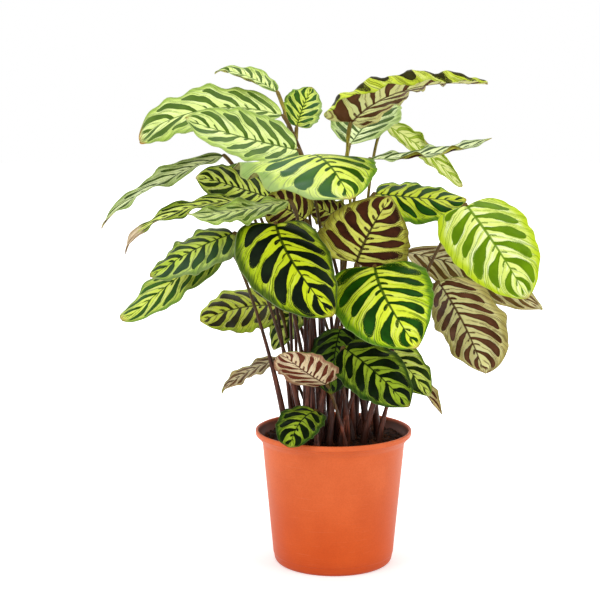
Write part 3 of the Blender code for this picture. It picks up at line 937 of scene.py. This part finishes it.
def new_group(name):
    """An empty node group with the sockets of the pattern, and the inside ends of those sockets."""
    group = bpy.data.node_groups.new(name, "ShaderNodeTree")
    for name in GIVEN:
        group.interface.new_socket(name, in_out="INPUT", socket_type="NodeSocketFloat")
    for name in MASKS:
        group.interface.new_socket(name, in_out="OUTPUT", socket_type="NodeSocketFloat")
    given = group.nodes.new("NodeGroupInput").outputs
    return group, [given[name] for name in GIVEN], group.nodes.new("NodeGroupOutput").inputs


def build_pattern():
    """The group that turns station and share into the masks of the pattern."""
    group, (station, share, seed, veins, fill), result = new_group("calathea_pattern")
    reach = calc(group, "ABSOLUTE", share)
    side = calc(group, "LESS_THAN", share, 0.0)
    place, warp = stray(group, station, share, seed)
    ahead = times_plus(group, side, OUT_OF_STEP, seed)
    lane = times_plus(group, count_lanes(group, station, reach, warp), veins, ahead)
    across = calc(group, "ABSOLUTE", calc(group, "SUBTRACT", calc(group, "FRACT", lane), 0.5))
    between = calc(group, "SUBTRACT", 0.5, across)
    widely, far, seldom = draw_luck(group, lane, side, seed)

    long_one, inside = long_blotch(group, reach, across, widely, far, fill)
    blotch = calc(group, "MAXIMUM", long_one, small_blotch(group, reach, between, seldom))
    put(group, times(group, blotch, fade(group, station, 0.985, 0.94)), result["Blotch"])
    put(group, fade(group, inside, 0.0, 0.16), result["Core"])
    put(group, fine_lines(group, place, reach, across, between, far, seldom), result["Lines"])

    fibres = spot(group, times(group, lane, 6.0), times(group, reach, 1.4), seed)
    streaks = cloud(group, fibres, 1.0, 3.0)
    put(group, streaks, result["Streaks"])
    put(group, edge_band(group, reach, warp, streaks), result["Margin"])
    # The thin line at the very edge, which the upper faces paint with a highlight.
    put(group, fade(group, reach, 0.972, 0.992), result["Rim"])
    put(group, midrib_line(group, station, reach), result["Midrib"])
    put(group, fade(group, times_plus(group, reach, 0.35, station), 0.085, 0.0), result["Joint"])
    put(group, cloud(group, place, 0.8, 3.0), result["Clouds"])
    put(group, reach, result["Reach"])
    return group


pattern = build_pattern()
print("pattern group nodes:", len(pattern.nodes))

# %% [markdown]
# ## The two faces of a leaf
# The upper face has a dull shine and fine ridges along its veins. Its ground is yellow-green, and the
# blotches, the midrib and the band by the edge are darker, with a painted pale highlight on the edge itself.
# The underside is duller, and shows the same pattern as maroon blotches on a pale ground. A painted pale
# sheen can lie over either half, and what has dried out turns tan. Both faces are made by one function, from
# a small set of named colours that is called a skin.

# %% A skin
@dataclass
class Skin:
    """The colours of one face of a leaf, as they are seen on a screen, and what its surface is like."""

    ground: tuple  # beside the midrib
    rich: tuple  # what the ground turns to towards the edge
    streak: tuple  # fine streaks along the veins
    blotch: tuple  # the middle of a blotch
    deep: tuple  # the border of a blotch
    margin: tuple  # the band along the edge
    line: tuple  # the fine lines between the blotches
    rib: tuple  # the midrib, and the foot of the blade
    rim: tuple  # the edge itself: a painted highlight on upper faces, the edge's own brown on undersides
    dry: tuple  # what has dried out
    fill: float = 0.29  # how far a blotch fills its lane, on each side
    roughness: float = 0.42
    relief: float = 0.5


# %% Leaf finishes
# A painted pale sheen: its colour over the ground, and over the blotches.
PAINTED_SHEEN = srgb(226, 240, 178)
PAINTED_SHEEN_ON_BLOTCH = srgb(84, 126, 98)
DRY_PATCH = srgb(120, 84, 40)
LEAF_GLOSS = 0.07


def pattern_in(tree, fill):
    """The pattern group placed in a material, with the leaf's own numbers linked in."""
    node = tree.nodes.new("ShaderNodeGroup")
    node.node_tree = pattern
    for name in ("station", "share", "seed", "veins"):
        put(tree, read(tree, name), node.inputs[name.capitalize()])
    node.inputs["Fill"].default_value = fill
    return node.outputs


def leaf_ground(tree, skin, parts, clouds):
    """The ground turns rich towards the edge, with streaks along the veins, the dark band and the lines."""
    outward = times(tree, fade(tree, parts["Reach"], 0.30, 1.0), 0.75)
    outward = calc(tree, "MINIMUM", times_plus(tree, clouds, 0.35, outward), 1.0)
    colour = mix(tree, outward, srgb(*skin.ground), srgb(*skin.rich))
    colour = tint(tree, colour, fade(tree, parts["Streaks"], 0.48, 0.66), 0.6, srgb(*skin.streak))
    colour = tint(tree, colour, parts["Margin"], 0.85, srgb(*skin.margin))
    return tint(tree, colour, parts["Lines"], 0.8, srgb(*skin.line))


def leaf_finish(name, skin):
    """The finish of one face of a leaf, in the colours of its skin."""
    finish, tree, shader = new_finish(name)
    parts = pattern_in(tree, skin.fill)
    clouds = fade(tree, parts["Clouds"], 0.35, 0.68)
    # Painted sheen: where the stored amount says so, the ground and the blotches turn pale.
    painted_sheen = times(tree, read(tree, "painted_sheen"), times_plus(tree, clouds, -0.5, 1.0))
    colour = mix(tree, painted_sheen, leaf_ground(tree, skin, parts, clouds), PAINTED_SHEEN)
    inside = mix(tree, times(tree, parts["Core"], clouds), srgb(*skin.deep), srgb(*skin.blotch))
    colour = mix(tree, parts["Blotch"], colour, mix(tree, painted_sheen, inside, PAINTED_SHEEN_ON_BLOTCH))
    colour = tint(tree, colour, parts["Midrib"], 0.9, srgb(*skin.rib))
    colour = tint(tree, colour, parts["Joint"], 0.8, srgb(*skin.rib))
    # On upper faces the edge line is a painted highlight; on undersides it is the edge's own brown.
    colour = tint(tree, colour, parts["Rim"], 0.7, srgb(*skin.rim))
    dry = read(tree, "dry")
    colour = mix(tree, dry, colour, mix(tree, clouds, srgb(*skin.dry), DRY_PATCH))
    put(tree, colour, shader.inputs["Base Color"])
    rough = times_plus(tree, parts["Blotch"], -0.05, skin.roughness)
    put(tree, times_plus(tree, dry, 0.3, rough), shader.inputs["Roughness"])
    shader.inputs["Specular IOR Level"].default_value = LEAF_GLOSS
    emboss(tree, shader, calc(tree, "SUBTRACT", parts["Streaks"], parts["Lines"]), skin.relief)
    return finish


# %% Skins for the upper faces
TOP_SKINS = {
    # Painted shade: a darker copy of the upper face, for leaves low in the clump.
    "night": Skin(
        ground=(156, 182, 44), rich=(60, 96, 14), streak=(176, 200, 70), blotch=(16, 34, 6),
        deep=(8, 20, 4), margin=(26, 58, 8), line=(14, 34, 4), rib=(14, 34, 4),
        rim=(90, 110, 60), dry=(170, 130, 70), fill=0.36, roughness=0.4,
    ),
    "deep": Skin(
        ground=(206, 222, 34), rich=(150, 178, 14), streak=(214, 228, 86), blotch=(18, 34, 10),
        deep=(6, 18, 4), margin=(22, 58, 8), line=(26, 52, 2), rib=(16, 38, 4),
        rim=(140, 156, 110), dry=(170, 130, 70), fill=0.385,
    ),
    "olive": Skin(
        ground=(222, 238, 104), rich=(158, 184, 44), streak=(234, 244, 156), blotch=(44, 66, 10),
        deep=(26, 44, 2), margin=(74, 104, 20), line=(50, 70, 4), rib=(40, 60, 6),
        rim=(150, 166, 100), dry=(224, 204, 170), fill=0.33,
    ),
    "fresh": Skin(
        ground=(228, 242, 62), rich=(176, 208, 26), streak=(236, 246, 118), blotch=(30, 82, 10),
        deep=(18, 56, 2), margin=(58, 118, 14), line=(52, 88, 2), rib=(28, 70, 6),
        rim=(140, 166, 90), dry=(196, 160, 100),
    ),
    "crown": Skin(
        ground=(224, 240, 92), rich=(182, 210, 56), streak=(238, 248, 150), blotch=(62, 106, 10),
        deep=(40, 76, 2), margin=(84, 136, 20), line=(70, 106, 10), rib=(52, 90, 8),
        rim=(170, 190, 110), dry=(196, 160, 100),
    ),
    # Painted sheen: a paler copy of the upper face, for leaves at the top that face the light.
    "pale": Skin(
        ground=(228, 244, 150), rich=(186, 212, 96), streak=(232, 244, 184), blotch=(92, 122, 38),
        deep=(70, 100, 24), margin=(146, 176, 70), line=(92, 124, 34), rib=(72, 102, 22),
        rim=(196, 212, 140), dry=(206, 150, 70), roughness=0.4,
    ),
    "mint": Skin(
        ground=(230, 242, 178), rich=(178, 200, 120), streak=(232, 242, 200), blotch=(80, 102, 40),
        deep=(58, 80, 26), margin=(156, 180, 96), line=(86, 112, 44), rib=(72, 98, 34),
        rim=(200, 214, 160), dry=(206, 170, 100), roughness=0.4,
    ),
    "bright": Skin(
        ground=(234, 246, 140), rich=(196, 218, 52), streak=(246, 252, 214), blotch=(110, 148, 6),
        deep=(90, 126, 0), margin=(184, 208, 18), line=(126, 158, 8), rib=(98, 136, 2),
        rim=(206, 224, 90), dry=(200, 180, 90), fill=0.3, roughness=0.4,
    ),
    "moss": Skin(
        ground=(190, 212, 68), rich=(122, 156, 34), streak=(204, 220, 110), blotch=(44, 72, 26),
        deep=(26, 46, 8), margin=(74, 108, 26), line=(50, 76, 12), rib=(40, 64, 12),
        rim=(150, 166, 100), dry=(196, 160, 100), fill=0.33,
    ),
    "amber": Skin(
        ground=(226, 238, 84), rich=(196, 214, 50), streak=(240, 246, 150), blotch=(58, 56, 14),
        deep=(40, 38, 8), margin=(166, 194, 50), line=(96, 104, 20), rib=(70, 74, 14),
        rim=(150, 130, 50), dry=(200, 180, 90), fill=0.31,
    ),
    # Painted shade: the darkest copy, for a leaf deep among the stalks.
    "shade": Skin(
        ground=(92, 122, 26), rich=(30, 56, 10), streak=(110, 140, 40), blotch=(12, 24, 6),
        deep=(6, 16, 4), margin=(18, 36, 8), line=(10, 24, 4), rib=(12, 26, 4),
        rim=(44, 62, 24), dry=(110, 80, 40), fill=0.38, roughness=0.45,
    ),
    "lime": Skin(
        ground=(244, 250, 160), rich=(234, 246, 128), streak=(246, 252, 190), blotch=(186, 210, 78),
        deep=(150, 176, 44), margin=(190, 212, 70), line=(156, 182, 54), rib=(146, 172, 46),
        rim=(216, 230, 140), dry=(200, 180, 90), fill=0.28,
    ),
}
TOPS = {name: leaf_finish("leaf_top_" + name, skin) for name, skin in TOP_SKINS.items()}
print("upper faces:", list(TOPS))

# %% Skins for the undersides
UNDER_SKINS = {
    "maroon": Skin(
        ground=(236, 238, 108), rich=(180, 178, 56), streak=(222, 224, 134), blotch=(78, 40, 20),
        deep=(48, 22, 8), margin=(128, 122, 40), line=(76, 48, 12), rib=(40, 18, 6),
        rim=(88, 48, 28), dry=(170, 130, 70), fill=0.34, roughness=0.55, relief=0.6,
    ),
    "rose": Skin(
        ground=(246, 246, 170), rich=(218, 208, 126), streak=(240, 240, 184), blotch=(116, 74, 50),
        deep=(82, 50, 24), margin=(192, 182, 100), line=(116, 84, 44), rib=(80, 46, 24),
        rim=(140, 104, 70), dry=(170, 130, 70), fill=0.3, roughness=0.55, relief=0.6,
    ),
    "tan": Skin(
        ground=(244, 222, 178), rich=(220, 192, 146), streak=(250, 236, 204), blotch=(122, 62, 46),
        deep=(96, 42, 26), margin=(164, 110, 84), line=(116, 72, 46), rib=(88, 46, 26),
        rim=(160, 116, 90), dry=(186, 150, 100), fill=0.28, roughness=0.55, relief=0.6,
    ),
    # Painted light: a lighter copy of tan, for undersides that lie in shade.
    "straw": Skin(
        ground=(254, 244, 190), rich=(240, 226, 158), streak=(255, 248, 214), blotch=(134, 100, 56),
        deep=(104, 74, 36), margin=(204, 184, 112), line=(130, 100, 56), rib=(96, 64, 32),
        rim=(170, 140, 90), dry=(196, 206, 90), fill=0.27, roughness=0.55, relief=0.6,
    ),
}
UNDERS = {name: leaf_finish("leaf_under_" + name, skin) for name, skin in UNDER_SKINS.items()}
print("undersides:", list(UNDERS))

# %% [markdown]
# ## The finish of the stalks
# At its foot a stalk is wrapped in a reddish-brown sheath, with painted shade darkest where it leaves the
# peat. Above it the stalk is dark maroon, with long fine streaks, and a young one turns green in its upper
# part. The neck is olive brown. The stored climb says how far up the stalk a point is.

# %% Stalk finish
def stalk_finish():
    """Dark maroon with a brown sheath at its foot."""
    finish, tree, shader = new_finish("stalk_skin")
    climb = read(tree, "climb")
    grain = stretched(tree, object_place(tree), (900, 900, 30))
    streaks = fade(tree, cloud(tree, grain, 1.0, 4.0), 0.35, 0.65)
    patches = spot(tree, read(tree, "seed"), times(tree, climb, 5.0), 1.7)
    patches = fade(tree, cloud(tree, patches, 1.7, 2.0), 0.35, 0.65)
    stem = mix(tree, streaks, srgb(98, 50, 36), srgb(46, 19, 12))
    stem = tint(tree, stem, patches, 0.6, srgb(40, 24, 12))
    green = mix(tree, streaks, srgb(172, 158, 58), srgb(112, 98, 28))
    stem = mix(tree, times(tree, read(tree, "young"), fade(tree, climb, 0.40, 0.85)), stem, green)
    sheath = mix(tree, streaks, srgb(146, 80, 58), srgb(64, 28, 18))
    sheath = tint(tree, sheath, patches, 0.7, srgb(66, 34, 24))
    wrapped = fade(tree, climb, 0.42, 0.30)
    colour = mix(tree, wrapped, stem, sheath)
    neck = fade(tree, climb, 0.95, 0.985)
    colour = tint(tree, colour, neck, 0.7, srgb(112, 88, 36))
    # Painted shade: the foot of the stalk darkens towards the peat.
    foot = fade(tree, climb, 0.26, 0.0)
    colour = tint(tree, colour, foot, 0.8, srgb(36, 17, 10))
    put(tree, colour, shader.inputs["Base Color"])
    put(tree, times_plus(tree, streaks, 0.15, 0.30), shader.inputs["Roughness"])
    shader.inputs["Specular IOR Level"].default_value = 0.22
    emboss(tree, shader, streaks, 0.4)
    return finish


STALK_SKIN = stalk_finish()
print("stalk nodes:", len(STALK_SKIN.node_tree.nodes))

# %% Growing the leaves
SEED_STEP = 1.37  # so that no two leaves get the same ruffles and blotches


def grow(leaf, look, root, number):
    """Adds one leaf, dressed, and returns its blade and its stalk."""
    blade = add_blade(leaf, look, SEED_STEP * number, TOPS[look.top], UNDERS[look.under])
    stalk = add_stalk(leaf, look, root, number, STALK_SKIN)
    for piece, slot in ((blade, "blade"), (stalk, "stalk")):
        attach(piece, "root")
    return blade, stalk


faces = 0
for place, leaf in enumerate(LEAVES):
    blade, stalk = grow(leaf, LOOKS[leaf.name], stalk_root(place), place)
    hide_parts("blade_" + leaf.name)
    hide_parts("stalk_" + leaf.name)
    faces += len(blade.data.polygons) + len(stalk.data.polygons)
print("leaves grown:", len(LEAVES), "faces:", faces)

# %% [markdown]
# A few more small leaves fill the clump: two low in it, one between the tall leaves, and one behind the
# leaves on the left. Their stalks stand between those of the others. They are too slight to have solids of
# their own.

# %% Small leaves deep in the clump
DEEP_LEAVES = [
    Leaf("deep_right", (48, -18, 246), (-38, -26), (-28, -52), 82, 46, 38, (5, 5), (-15, -15)),
    Leaf("deep_middle", (6, -28, 262), (-112, -100), (-48, -74), 74, 60, 10, (5, 5), (-15, -15)),
    Leaf("deep_heart", (10, 16, 372), (165, 185), (40, 10), 44, 50, 52, (0, 0), (-10, -10), ROUND),
    Leaf("deep_left", (-26, 60, 290), (186, 192), (-46, -70), 78, 54, -30, (5, 5), (-15, -15)),
]
DEEP_TOPS = ("olive", "shade", "fresh", "olive")
DEEP_PLACES = (12.5, 4.5, 17.5, 7.5)  # between the places of the other stalks
for number, (leaf, top, place) in enumerate(zip(DEEP_LEAVES, DEEP_TOPS, DEEP_PLACES)):
    grow(leaf, Look(top), stalk_root(place), len(LEAVES) + number)
print("small leaves:", len(DEEP_LEAVES))

# %% [markdown]
# A calathea keeps making new leaves among its stalks. Each one comes up tightly rolled, as a slim green spear
# on a stalk of its own. From the front the large leaves hide them.

# %% New leaves, still rolled
SPEAR_PLACES = (1.5, 3.5, 5.5, 9.5, 11.5, 14.5, 16.5, 19.5)
SPEAR_LENGTH, SPEAR_WIDTH = 58, 9
SPEAR_OUT = 1.15  # how much further from the pot's axis a spear starts than its root
SPEAR_HEIGHT, SPEAR_STEP = 290, 7  # the lowest spears, and how much higher the next ones stand
SPEAR_RISE = (70, 82)
ROLLED_FOLD, ROLLED_BOW = (40, 40), (60, 60)
SPEAR_LOOK = Look("crown", "rose", veins=8, ruffle=0.5, waves=2, young=0)
for number, place in enumerate(SPEAR_PLACES):
    root = stalk_root(place)
    base = (SPEAR_OUT * root[0], SPEAR_OUT * root[1], SPEAR_HEIGHT + SPEAR_STEP * (number % 4))
    outwards = math.degrees(math.atan2(root[1], root[0]))
    spear = Leaf(
        f"spear_{number}", base, (outwards, outwards), SPEAR_RISE, SPEAR_LENGTH, SPEAR_WIDTH, 0,
        ROLLED_FOLD, ROLLED_BOW, LANCE,
    )
    grow(spear, SPEAR_LOOK, root, len(LEAVES) + len(DEEP_LEAVES) + number)
print("rolled leaves:", len(SPEAR_PLACES))

# %% [markdown]
# ## The pot
# The pot is turned: its outline is drawn once as a run of points and spun around the pot's axis. Moulded
# plastic has no sharp corners, so each corner of the outline is first rounded into a short arc.

# %% Turning an outline
POT_SIDES = 144
ARC_STEPS = 4  # in each rounded corner
LONGEST_ARC = 0.45  # share of a side that a rounded corner may take up
MERGE_WITHIN = 0.00001
SHARP_FROM = 40  # degrees between two faces from which their edge is shown sharp


def rounded(outline, radii):
    """The outline with each corner replaced by a small arc of its own radius."""
    points = [Vector(outline[0])]
    for before, corner, after, radius in zip(outline, outline[1:], outline[2:], radii):
        corner = Vector(corner)
        back = Vector(before) - corner
        on = Vector(after) - corner
        radius = min(radius, LONGEST_ARC * back.length, LONGEST_ARC * on.length)
        start = corner + back.normalized() * radius
        end = corner + on.normalized() * radius
        for step in range(ARC_STEPS + 1):
            t = step / ARC_STEPS
            points.append(start * (1 - t) ** 2 + corner * 2 * t * (1 - t) + end * t * t)
    points.append(Vector(outline[-1]))
    return points


def turn(name, outline, sides):
    """Spins an outline of (radius, height) points, in millimetres, around the upright axis."""
    mesh = bpy.data.meshes.new(name)
    points = [(radius * MM, 0, height * MM) for radius, height in outline]
    mesh.from_pydata(points, [(i, i + 1) for i in range(len(points) - 1)], [])
    turned = bpy.data.objects.new(name, mesh)
    scene.collection.objects.link(turned)
    pick(turned)
    bpy.ops.object.mode_set(mode="EDIT")
    bpy.ops.mesh.select_all(action="SELECT")
    bpy.ops.mesh.spin(steps=sides, angle=math.tau, center=(0, 0, 0), axis=(0, 0, 1))
    bpy.ops.mesh.select_all(action="SELECT")
    bpy.ops.mesh.remove_doubles(threshold=MERGE_WITHIN)
    bpy.ops.mesh.normals_make_consistent(inside=False)
    bpy.ops.object.mode_set(mode="OBJECT")
    bpy.ops.object.shade_smooth_by_angle(angle=math.radians(SHARP_FROM))
    return turned


# %% Pot outline
RIM_RADIUS = 85
RIM_DEPTH = 13
RIM_BAND = 6
FOOT_RADIUS = 65
WALL = 2.2
POT_FLOOR = 3
FOOT_BAND = 9
SHOULDER = POT_HEIGHT - RIM_DEPTH


def wall_radius(height):
    """Outside of the pot's wall below the rim, which flares evenly from the foot."""
    return FOOT_RADIUS + (SHOULDER_RADIUS - FOOT_RADIUS) * height / SHOULDER


outline = [
    (0, 0),
    (wall_radius(0) - 3, 0),
    (wall_radius(0) - 0.6, 3),  # the band at the foot
    (wall_radius(FOOT_BAND) - 0.5, FOOT_BAND),
    (wall_radius(FOOT_BAND + 1), FOOT_BAND + 1),  # the wall
    (wall_radius(SHOULDER - 3), SHOULDER - 3),
    (SHOULDER_RADIUS + 0.4, SHOULDER),  # the shoulder flares out to the rim
    (RIM_RADIUS - 2.4, POT_HEIGHT - RIM_BAND - 0.8),
    (RIM_RADIUS, POT_HEIGHT - RIM_BAND + 0.6),
    (RIM_RADIUS, POT_HEIGHT),
    (RIM_RADIUS - WALL - 0.6, POT_HEIGHT),  # down the inside
    (RIM_RADIUS - 2 * WALL, POT_HEIGHT - RIM_BAND),
    (SHOULDER_RADIUS - WALL, SHOULDER - WALL),
    (wall_radius(FOOT_BAND) - WALL, FOOT_BAND),
    (FOOT_RADIUS - 2 * WALL, POT_FLOOR),
    (0, POT_FLOOR),
]
corner_radii = [2, 2, 0.6, 0.6, 1.5, 1.2, 1.2, 1.4, 1.3, 1.0, 3, 3, 3, 2]
pot = turn("nursery_pot", rounded(outline, corner_radii), POT_SIDES)
print("pot points:", len(pot.data.vertices))

# %% [markdown]
# Water drains through a ring of holes in the floor. One round cutter is added for each hole, and a Boolean
# modifier takes it out of the pot.

# %% Drain holes
DRAIN_HOLES = 8
DRAIN_RADIUS = 5
DRAIN_CIRCLE = 42
CUTTER_DEPTH = 20
for number in range(DRAIN_HOLES):
    angle = math.tau * (number + 0.5) / DRAIN_HOLES
    place = (DRAIN_CIRCLE * math.cos(angle) * MM, DRAIN_CIRCLE * math.sin(angle) * MM, 0)
    bpy.ops.mesh.primitive_cylinder_add(
        vertices=32, radius=DRAIN_RADIUS * MM, depth=CUTTER_DEPTH * MM, location=place
    )
    cutter = bpy.context.object
    hole = pot.modifiers.new("Drain", "BOOLEAN")
    hole.operation = "DIFFERENCE"
    hole.solver = "EXACT"
    hole.object = cutter
    bpy.context.view_layer.objects.active = pot
    bpy.ops.object.modifier_apply(modifier=hole.name)
    bpy.data.objects.remove(cutter)
print("pot points with its holes:", len(pot.data.vertices))

# %% [markdown]
# Terracotta-coloured plastic is satin and not quite even: it is paler towards the rim, and has faint clouds,
# a fine grain, scuffs that run around it, specks of splashed peat near the rim, and a browner foot. The
# inside of its wall is coloured dark brown.

# %% Where the pot is dark inside
def dark_inside_wall(tree, x, y, z, clouds):
    """1 on the inside of the wall, up to just below the rim's top. The places are in metres."""
    across = times(tree, x, x)
    across = calc(tree, "SQRT", times_plus(tree, y, y, across))
    inward = fade(tree, times_plus(tree, z, -0.743, across), -0.0222, -0.0230)  # inside the flaring wall
    darkened = times(tree, inward, fade(tree, across, 0.0829, 0.0822))  # inside the upright rim
    darkened = times(tree, darkened, fade(tree, z, 0.1468, 0.1430))
    return times(tree, darkened, times_plus(tree, clouds, -0.15, 0.95))


# %% Pot finish
def pot_finish():
    """Terracotta-coloured plastic that has been in use for a while."""
    finish, tree, shader = new_finish("terracotta_plastic")
    where = object_place(tree)
    clouds = fade(tree, cloud(tree, where, 22.0, 5.0), 0.30, 0.72)
    split = tree.nodes.new("ShaderNodeSeparateXYZ")
    put(tree, where, split.inputs[0])
    x, y, z = split.outputs
    lower = mix(tree, clouds, srgb(214, 84, 24), srgb(222, 92, 31))
    upper = mix(tree, clouds, srgb(222, 102, 49), srgb(233, 113, 60))
    up_the_wall = fade(tree, z, 0.02, 0.13)
    colour = mix(tree, up_the_wall, lower, upper)
    scuffs = cloud(tree, stretched(tree, where, (40, 40, 900)), 1.0, 3.0)
    colour = tint(tree, colour, fade(tree, scuffs, 0.58, 0.78), 0.14, srgb(238, 150, 112))
    grain = fade(tree, cloud(tree, where, 620.0, 2.0), 0.42, 0.62)
    colour = tint(tree, colour, grain, 0.13, srgb(188, 66, 22))
    foot = fade(tree, z, 0.022, 0.0)
    colour = tint(tree, colour, foot, 0.30, srgb(176, 66, 28))
    specks = fade(tree, cloud(tree, where, 900.0, 1.0), 0.70, 0.76)
    near_rim = fade(tree, z, 0.128, 0.139)
    colour = tint(tree, colour, times(tree, specks, near_rim), 0.5, srgb(90, 48, 30))
    # The inside of the wall, up to just below the rim, is coloured dark brown.
    colour = mix(tree, dark_inside_wall(tree, x, y, z, clouds), colour, srgb(86, 42, 16))
    put(tree, colour, shader.inputs["Base Color"])
    put(tree, times_plus(tree, clouds, 0.08, 0.40), shader.inputs["Roughness"])
    shader.inputs["Specular IOR Level"].default_value = 0.22
    emboss(tree, shader, cloud(tree, where, 1400.0, 2.0), 0.12)
    return finish


pot.data.materials.clear()
pot.data.materials.append(pot_finish())
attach(pot, "root")
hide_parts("pot")
print("pot nodes:", len(pot.active_material.node_tree.nodes))

# %% [markdown]
# ## The peat
# The body of peat is turned like the pot, with many rings on its top so that it can be roughened. Random
# bumps then push its surface up and down, and loose crumbs are strewn over it.

# %% Peat body
PEAT_RADIUS = SHOULDER_RADIUS - WALL - 0.2
PEAT_SIDES = 120
MOUND_RINGS = 46
ROUGH_FROM = 134.5  # height above which the peat is roughened, mm
LUMP_HEIGHT, LUMP_SCALE = 2.4, 90
GRAIN_HEIGHT, GRAIN_SCALE = 0.9, 420
radii = [PEAT_RADIUS * (1 - ring / MOUND_RINGS) for ring in range(MOUND_RINGS + 1)]
mound = [(radius, peat_height(radius)) for radius in radii]
sides = [  # the body inside the pot, from its flat bottom up
    (0, 4),
    (FOOT_RADIUS - 8, 4),
    (wall_radius(FOOT_BAND) - WALL - 1, 12),
    (PEAT_RADIUS - 0.6, SHOULDER - 4),
]
peat = turn("peat_body", sides + mound, PEAT_SIDES)
for vert in peat.data.vertices:
    if vert.co.z < ROUGH_FROM * MM:
        continue
    lumps = noise.fractal(vert.co * LUMP_SCALE, 0.9, 2.0, 4, noise_basis="PERLIN_ORIGINAL")
    grains = noise.noise(vert.co * GRAIN_SCALE)
    vert.co.z += (LUMP_HEIGHT * lumps + GRAIN_HEIGHT * grains) * MM
print("peat points:", len(peat.data.vertices))

# %% Peat crumbs
CRUMBS = 900
CRUMB_SIZES = (0.7, 2.4)
dice = random.Random(7)
crumbs = bmesh.new()
for _ in range(CRUMBS):
    distance = PEAT_RADIUS * math.sqrt(dice.random())
    angle = dice.uniform(0, math.tau)
    size = dice.uniform(*CRUMB_SIZES) * MM
    place = Vector((distance * math.cos(angle), distance * math.sin(angle), peat_height(distance))) * MM
    shape = Matrix.Diagonal((dice.uniform(0.6, 1.4), dice.uniform(0.6, 1.2), dice.uniform(0.4, 0.9), 1))
    turned = dice.uniform(0, math.tau)
    axis = Vector((dice.random(), dice.random(), 0.3)).normalized()
    stand = Matrix.Translation(place) @ Matrix.Rotation(turned, 4, axis)
    made = bmesh.ops.create_icosphere(crumbs, subdivisions=1, radius=size)
    bmesh.ops.transform(crumbs, matrix=stand @ shape, verts=made["verts"])
mesh = bpy.data.meshes.new("peat_crumbs")
crumbs.to_mesh(mesh)
crumbs.free()
crumb_piece = bpy.data.objects.new("peat_crumbs", mesh)
scene.collection.objects.link(crumb_piece)
print("crumbs:", CRUMBS, "faces:", len(mesh.polygons))

# %% [markdown]
# Damp peat is nearly black-brown and quite dull, with paler fibres. The loose crumbs have dried a little, so
# they are lighter.

# %% Peat finish
def peat_finish(name, dark, light):
    """Lumpy and dull, between a dark and a light colour."""
    finish, tree, shader = new_finish(name)
    where = object_place(tree)
    lumps = fade(tree, cloud(tree, where, 160.0, 6.0), 0.35, 0.68)
    specks = fade(tree, cloud(tree, where, 700.0, 2.0), 0.66, 0.72)
    colour = tint(tree, mix(tree, lumps, dark, light), specks, 0.6, srgb(112, 74, 46))
    put(tree, colour, shader.inputs["Base Color"])
    shader.inputs["Roughness"].default_value = 0.92
    shader.inputs["Specular IOR Level"].default_value = 0.15
    emboss(tree, shader, cloud(tree, where, 420.0, 6.0), 0.9, depth=1.0)
    return finish


peat.data.materials.clear()
peat.data.materials.append(peat_finish("peat_damp", srgb(28, 13, 7), srgb(58, 29, 15)))
crumb_piece.data.materials.append(peat_finish("peat_crumb", srgb(34, 17, 9), srgb(78, 43, 23)))
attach(peat, "root")
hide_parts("peat")
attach(crumb_piece, "root")
